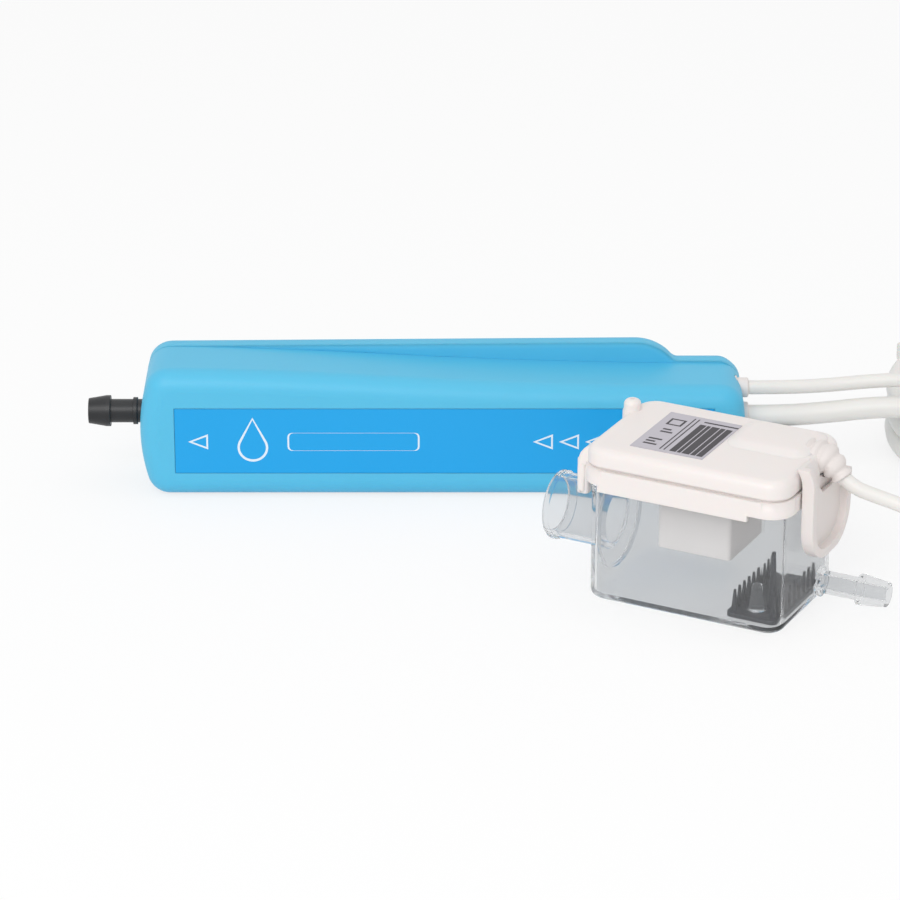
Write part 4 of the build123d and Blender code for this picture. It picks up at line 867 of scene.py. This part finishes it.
# ---------------------------------------------------------------- printed marks
def flat_piece(name, outlines, thickness, look, body):
    """A thin printed piece.  Each outline is its points and the way it faces, and rises that way."""
    shape = bmesh.new()
    for corners, normal in outlines:
        low = [shape.verts.new(corner) for corner in corners]
        high = [shape.verts.new(corner + normal * thickness) for corner in corners]
        shape.faces.new(low[::-1])
        shape.faces.new(high)
        join_rows(shape, [low, high])
    bmesh.ops.recalc_face_normals(shape, faces=shape.faces)
    mesh = bpy.data.meshes.new(name)
    shape.to_mesh(mesh)
    shape.free()
    mesh.materials.append(looks[look])
    made = placed(name, mesh)
    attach(made, body)
    return made


PANEL_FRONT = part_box("label_panel")[0].y
INK = 0.04 * MM
FRONT = Vector((0, -1, 0))
ARROW_CENTRES = (-68.5 * MM, 28.0 * MM, 35.3 * MM, 42.6 * MM)
ARROW_LENGTH, ARROW_HEIGHT, ARROW_STROKE = 5.6 * MM, 4.6 * MM, 0.5 * MM
ARROW_Z = 17.3 * MM
TIP_INSET, FOOT_INSET = 2.3, 1.5  # how much further the inner outline draws in at tip and feet


def on_panel(x, z):
    """A point on the label panel's front, from metres."""
    return Vector((x, PANEL_FRONT, z))


def strokes(outer, inner):
    """The area between two closed outlines on the panel, side by side."""
    return [
        ((outer[side - 1], outer[side], inner[side], inner[side - 1]), FRONT)
        for side in range(len(outer))
    ]


def arrow_outline(centre_x, inset):
    """A triangle that points to the outlet."""
    foot_x = centre_x + ARROW_LENGTH / 2 - inset
    half = ARROW_HEIGHT / 2 - inset * FOOT_INSET
    return [
        on_panel(centre_x - ARROW_LENGTH / 2 + inset * TIP_INSET, ARROW_Z),
        on_panel(foot_x, ARROW_Z - half),
        on_panel(foot_x, ARROW_Z + half),
    ]


def panel_ring(points, width):
    """A closed outline on the panel as strokes.  Points run round it, in mm, as (x, z)."""
    outer = [on_panel(x * MM, z * MM) for x, z in points]
    middle = sum(outer, Vector()) / len(outer)
    inner = [point + (middle - point).normalized() * width for point in outer]
    return strokes(outer, inner)


# A plain water drop and an empty name field
DROP_X, DROP_Z, DROP_RADIUS, DROP_TIP = -53.2, 15.6, 4.3, 9.0
DROP_ARC_START, DROP_ARC_END, DROP_ARC_STEP = -208, 28, 8
DROP_LINE, FIELD_LINE = 0.7 * MM, 0.5 * MM
drop_outline = arc((DROP_X, DROP_Z), DROP_RADIUS, DROP_ARC_START, DROP_ARC_END, DROP_ARC_STEP)
drop_outline.append((DROP_X, DROP_Z + DROP_TIP))
FIELD_LENGTH, FIELD_HEIGHT, FIELD_CORNER, FIELD_MIDDLE = 37.0, 5.4, 1.2, (-25.0, 17.3)
field_outline = rounded_box(FIELD_LENGTH, FIELD_HEIGHT, FIELD_CORNER, 0, FIELD_MIDDLE, step=30)
arrows = []
for centre in ARROW_CENTRES:
    arrows += strokes(arrow_outline(centre, 0), arrow_outline(centre, ARROW_STROKE))
flat_piece("flow_arrows", arrows, INK, "ink", "root")
marks = panel_ring(drop_outline, DROP_LINE) + panel_ring(field_outline, FIELD_LINE)
flat_piece("panel_marks", marks, INK, "ink", "root")

# The lid's label, and its print: plain bars, rules, short lines and a square frame
LABEL_LOW, LABEL_TOP = LID_TOP + 0.005, LID_TOP + 0.15
LABEL_THICKNESS = 0.14 * MM
LABEL_AREA = (10.2, 31.0, 5.2, 31.2)  # from u to u and from v to v


def lid_patch(u_start, u_end, v_start, v_end, height=LABEL_TOP):
    """A rectangle that lies on the lid, in mm."""
    corners = ((u_start, v_start), (u_end, v_start), (u_end, v_end), (u_start, v_end))
    return [reservoir(u, v, height) for u, v in corners], UP


label_outline = lid_patch(*LABEL_AREA, LABEL_LOW)
label_sheet = flat_piece("label_sheet", [label_outline], LABEL_THICKNESS, "paper", "lid")
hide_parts("lid_label")

BAR_U_START, BAR_V_START, BAR_V_END = 20.9, 6.6, 26.6
BAR_WIDTHS = (1.8, 1.0, 2.2, 1.3, 1.7)
BAR_GAP = 0.35
patches = []
bar_u = BAR_U_START
for bar_width in BAR_WIDTHS:
    patches.append(lid_patch(bar_u, bar_u + bar_width, BAR_V_START, BAR_V_END))
    bar_u += bar_width + BAR_GAP
RULE_PLACES, RULE_WIDTH, RULE_START, RULE_END = (18.0, 19.2), 0.35, 6.6, 29.6
CROSS_RULE = (21.2, 31.0, 28.2, 28.9)
for rule_u in RULE_PLACES:
    patches.append(lid_patch(rule_u, rule_u + RULE_WIDTH, RULE_START, RULE_END))
patches.append(lid_patch(*CROSS_RULE))
LINES = (
    (8.4, 12.4, 16.2), (10.2, 12.4, 15.0), (12.0, 12.4, 16.2), (17.4, 13.2, 16.6), (19.2, 13.2, 15.6),
)
LINE_WIDTH = 0.8
for line_v, line_start, line_end in LINES:
    patches.append(lid_patch(line_start, line_end, line_v, line_v + LINE_WIDTH))

# The square frame
FRAME_LOW_U, FRAME_HIGH_U, FRAME_LOW_V, FRAME_HIGH_V, FRAME_LINE = 12.4, 16.8, 22.8, 27.2, 0.6
frame_inner_low, frame_inner_high = FRAME_LOW_V + FRAME_LINE, FRAME_HIGH_V - FRAME_LINE
patches += [
    lid_patch(FRAME_LOW_U, FRAME_HIGH_U, FRAME_LOW_V, frame_inner_low),
    lid_patch(FRAME_LOW_U, FRAME_HIGH_U, frame_inner_high, FRAME_HIGH_V),
    lid_patch(FRAME_LOW_U, FRAME_LOW_U + FRAME_LINE, frame_inner_low, frame_inner_high),
    lid_patch(FRAME_HIGH_U - FRAME_LINE, FRAME_HIGH_U, frame_inner_low, frame_inner_high),
]
flat_piece("label_bars", patches, INK, "print", "lid")

# ---------------------------------------------------------------- floor, lamps and world
FLOOR_HALF, FLOOR_DROP = 6.0, 0.0002
floor_mesh = bpy.data.meshes.new("floor")
floor_mesh.from_pydata([(FLOOR_HALF * x, FLOOR_HALF * y, 0) for x, y in SQUARE], [], [(0, 1, 2, 3)])
floor = placed("floor", floor_mesh)
floor.location.z = -FLOOR_DROP


def seen_directly(tree):
    """1 for what the camera sees, straight or through glass or in a reflection."""
    rays = tree.nodes.new("ShaderNodeLightPath")
    seen = rays.outputs["Is Camera Ray"]
    for output in ("Is Glossy Ray", "Is Transmission Ray"):
        seen = maths(tree, "MAXIMUM", seen, rays.outputs[output])
    return seen


FLOOR_WHITENESS = 0.75        # how far the floor is lifted to white where it is seen
FLOOR_PAPER = (0.97, 0.97, 0.97, 1)
WHITE = (1, 1, 1, 1)
floor_look = bpy.data.materials.new("floor_paper")
floor_look.use_nodes = True
tree = floor_look.node_tree
tree.nodes.clear()
paper = tree.nodes.new("ShaderNodeBsdfDiffuse")
paper.inputs["Color"].default_value = FLOOR_PAPER
glow = tree.nodes.new("ShaderNodeEmission")
glow.inputs["Color"].default_value = WHITE
share = maths(tree, "MULTIPLY", seen_directly(tree), FLOOR_WHITENESS)
both = either_shader(tree, share, paper.outputs[0], glow.outputs[0])
end = tree.nodes.new("ShaderNodeOutputMaterial")
tree.links.new(both, end.inputs["Surface"])
floor_mesh.materials.append(floor_look)

WORLD_LIGHT, WORLD_SEEN = 0.65, 1.0  # as light on the pump, and where the camera sees it
world = bpy.data.worlds.new("studio")
bpy.context.scene.world = world
world.use_nodes = True
tree = world.node_tree
background = tree.nodes["Background"]
background.inputs["Color"].default_value = WHITE
level = ranged(tree, seen_directly(tree), To_Min=WORLD_LIGHT, To_Max=WORLD_SEEN)
tree.links.new(level, background.inputs["Strength"])

LAMP_TARGET = Vector((0.02, -0.02, 0))


def softbox(name, place, size, power):
    """A square area lamp that faces the pump."""
    data = bpy.data.lights.new(name, "AREA")
    data.shape = "SQUARE"
    data.size = size
    data.energy = power
    lamp = placed(name, data)
    lamp.location = place
    lamp.rotation_euler = (LAMP_TARGET - Vector(place)).to_track_quat("-Z", "Y").to_euler()


softbox("key", (-0.45, -1.3, 1.1), 1.0, 12)
softbox("top", (0.3, 0.1, 1.7), 1.4, 3)

bpy.context.scene.view_settings.view_transform = "Standard"
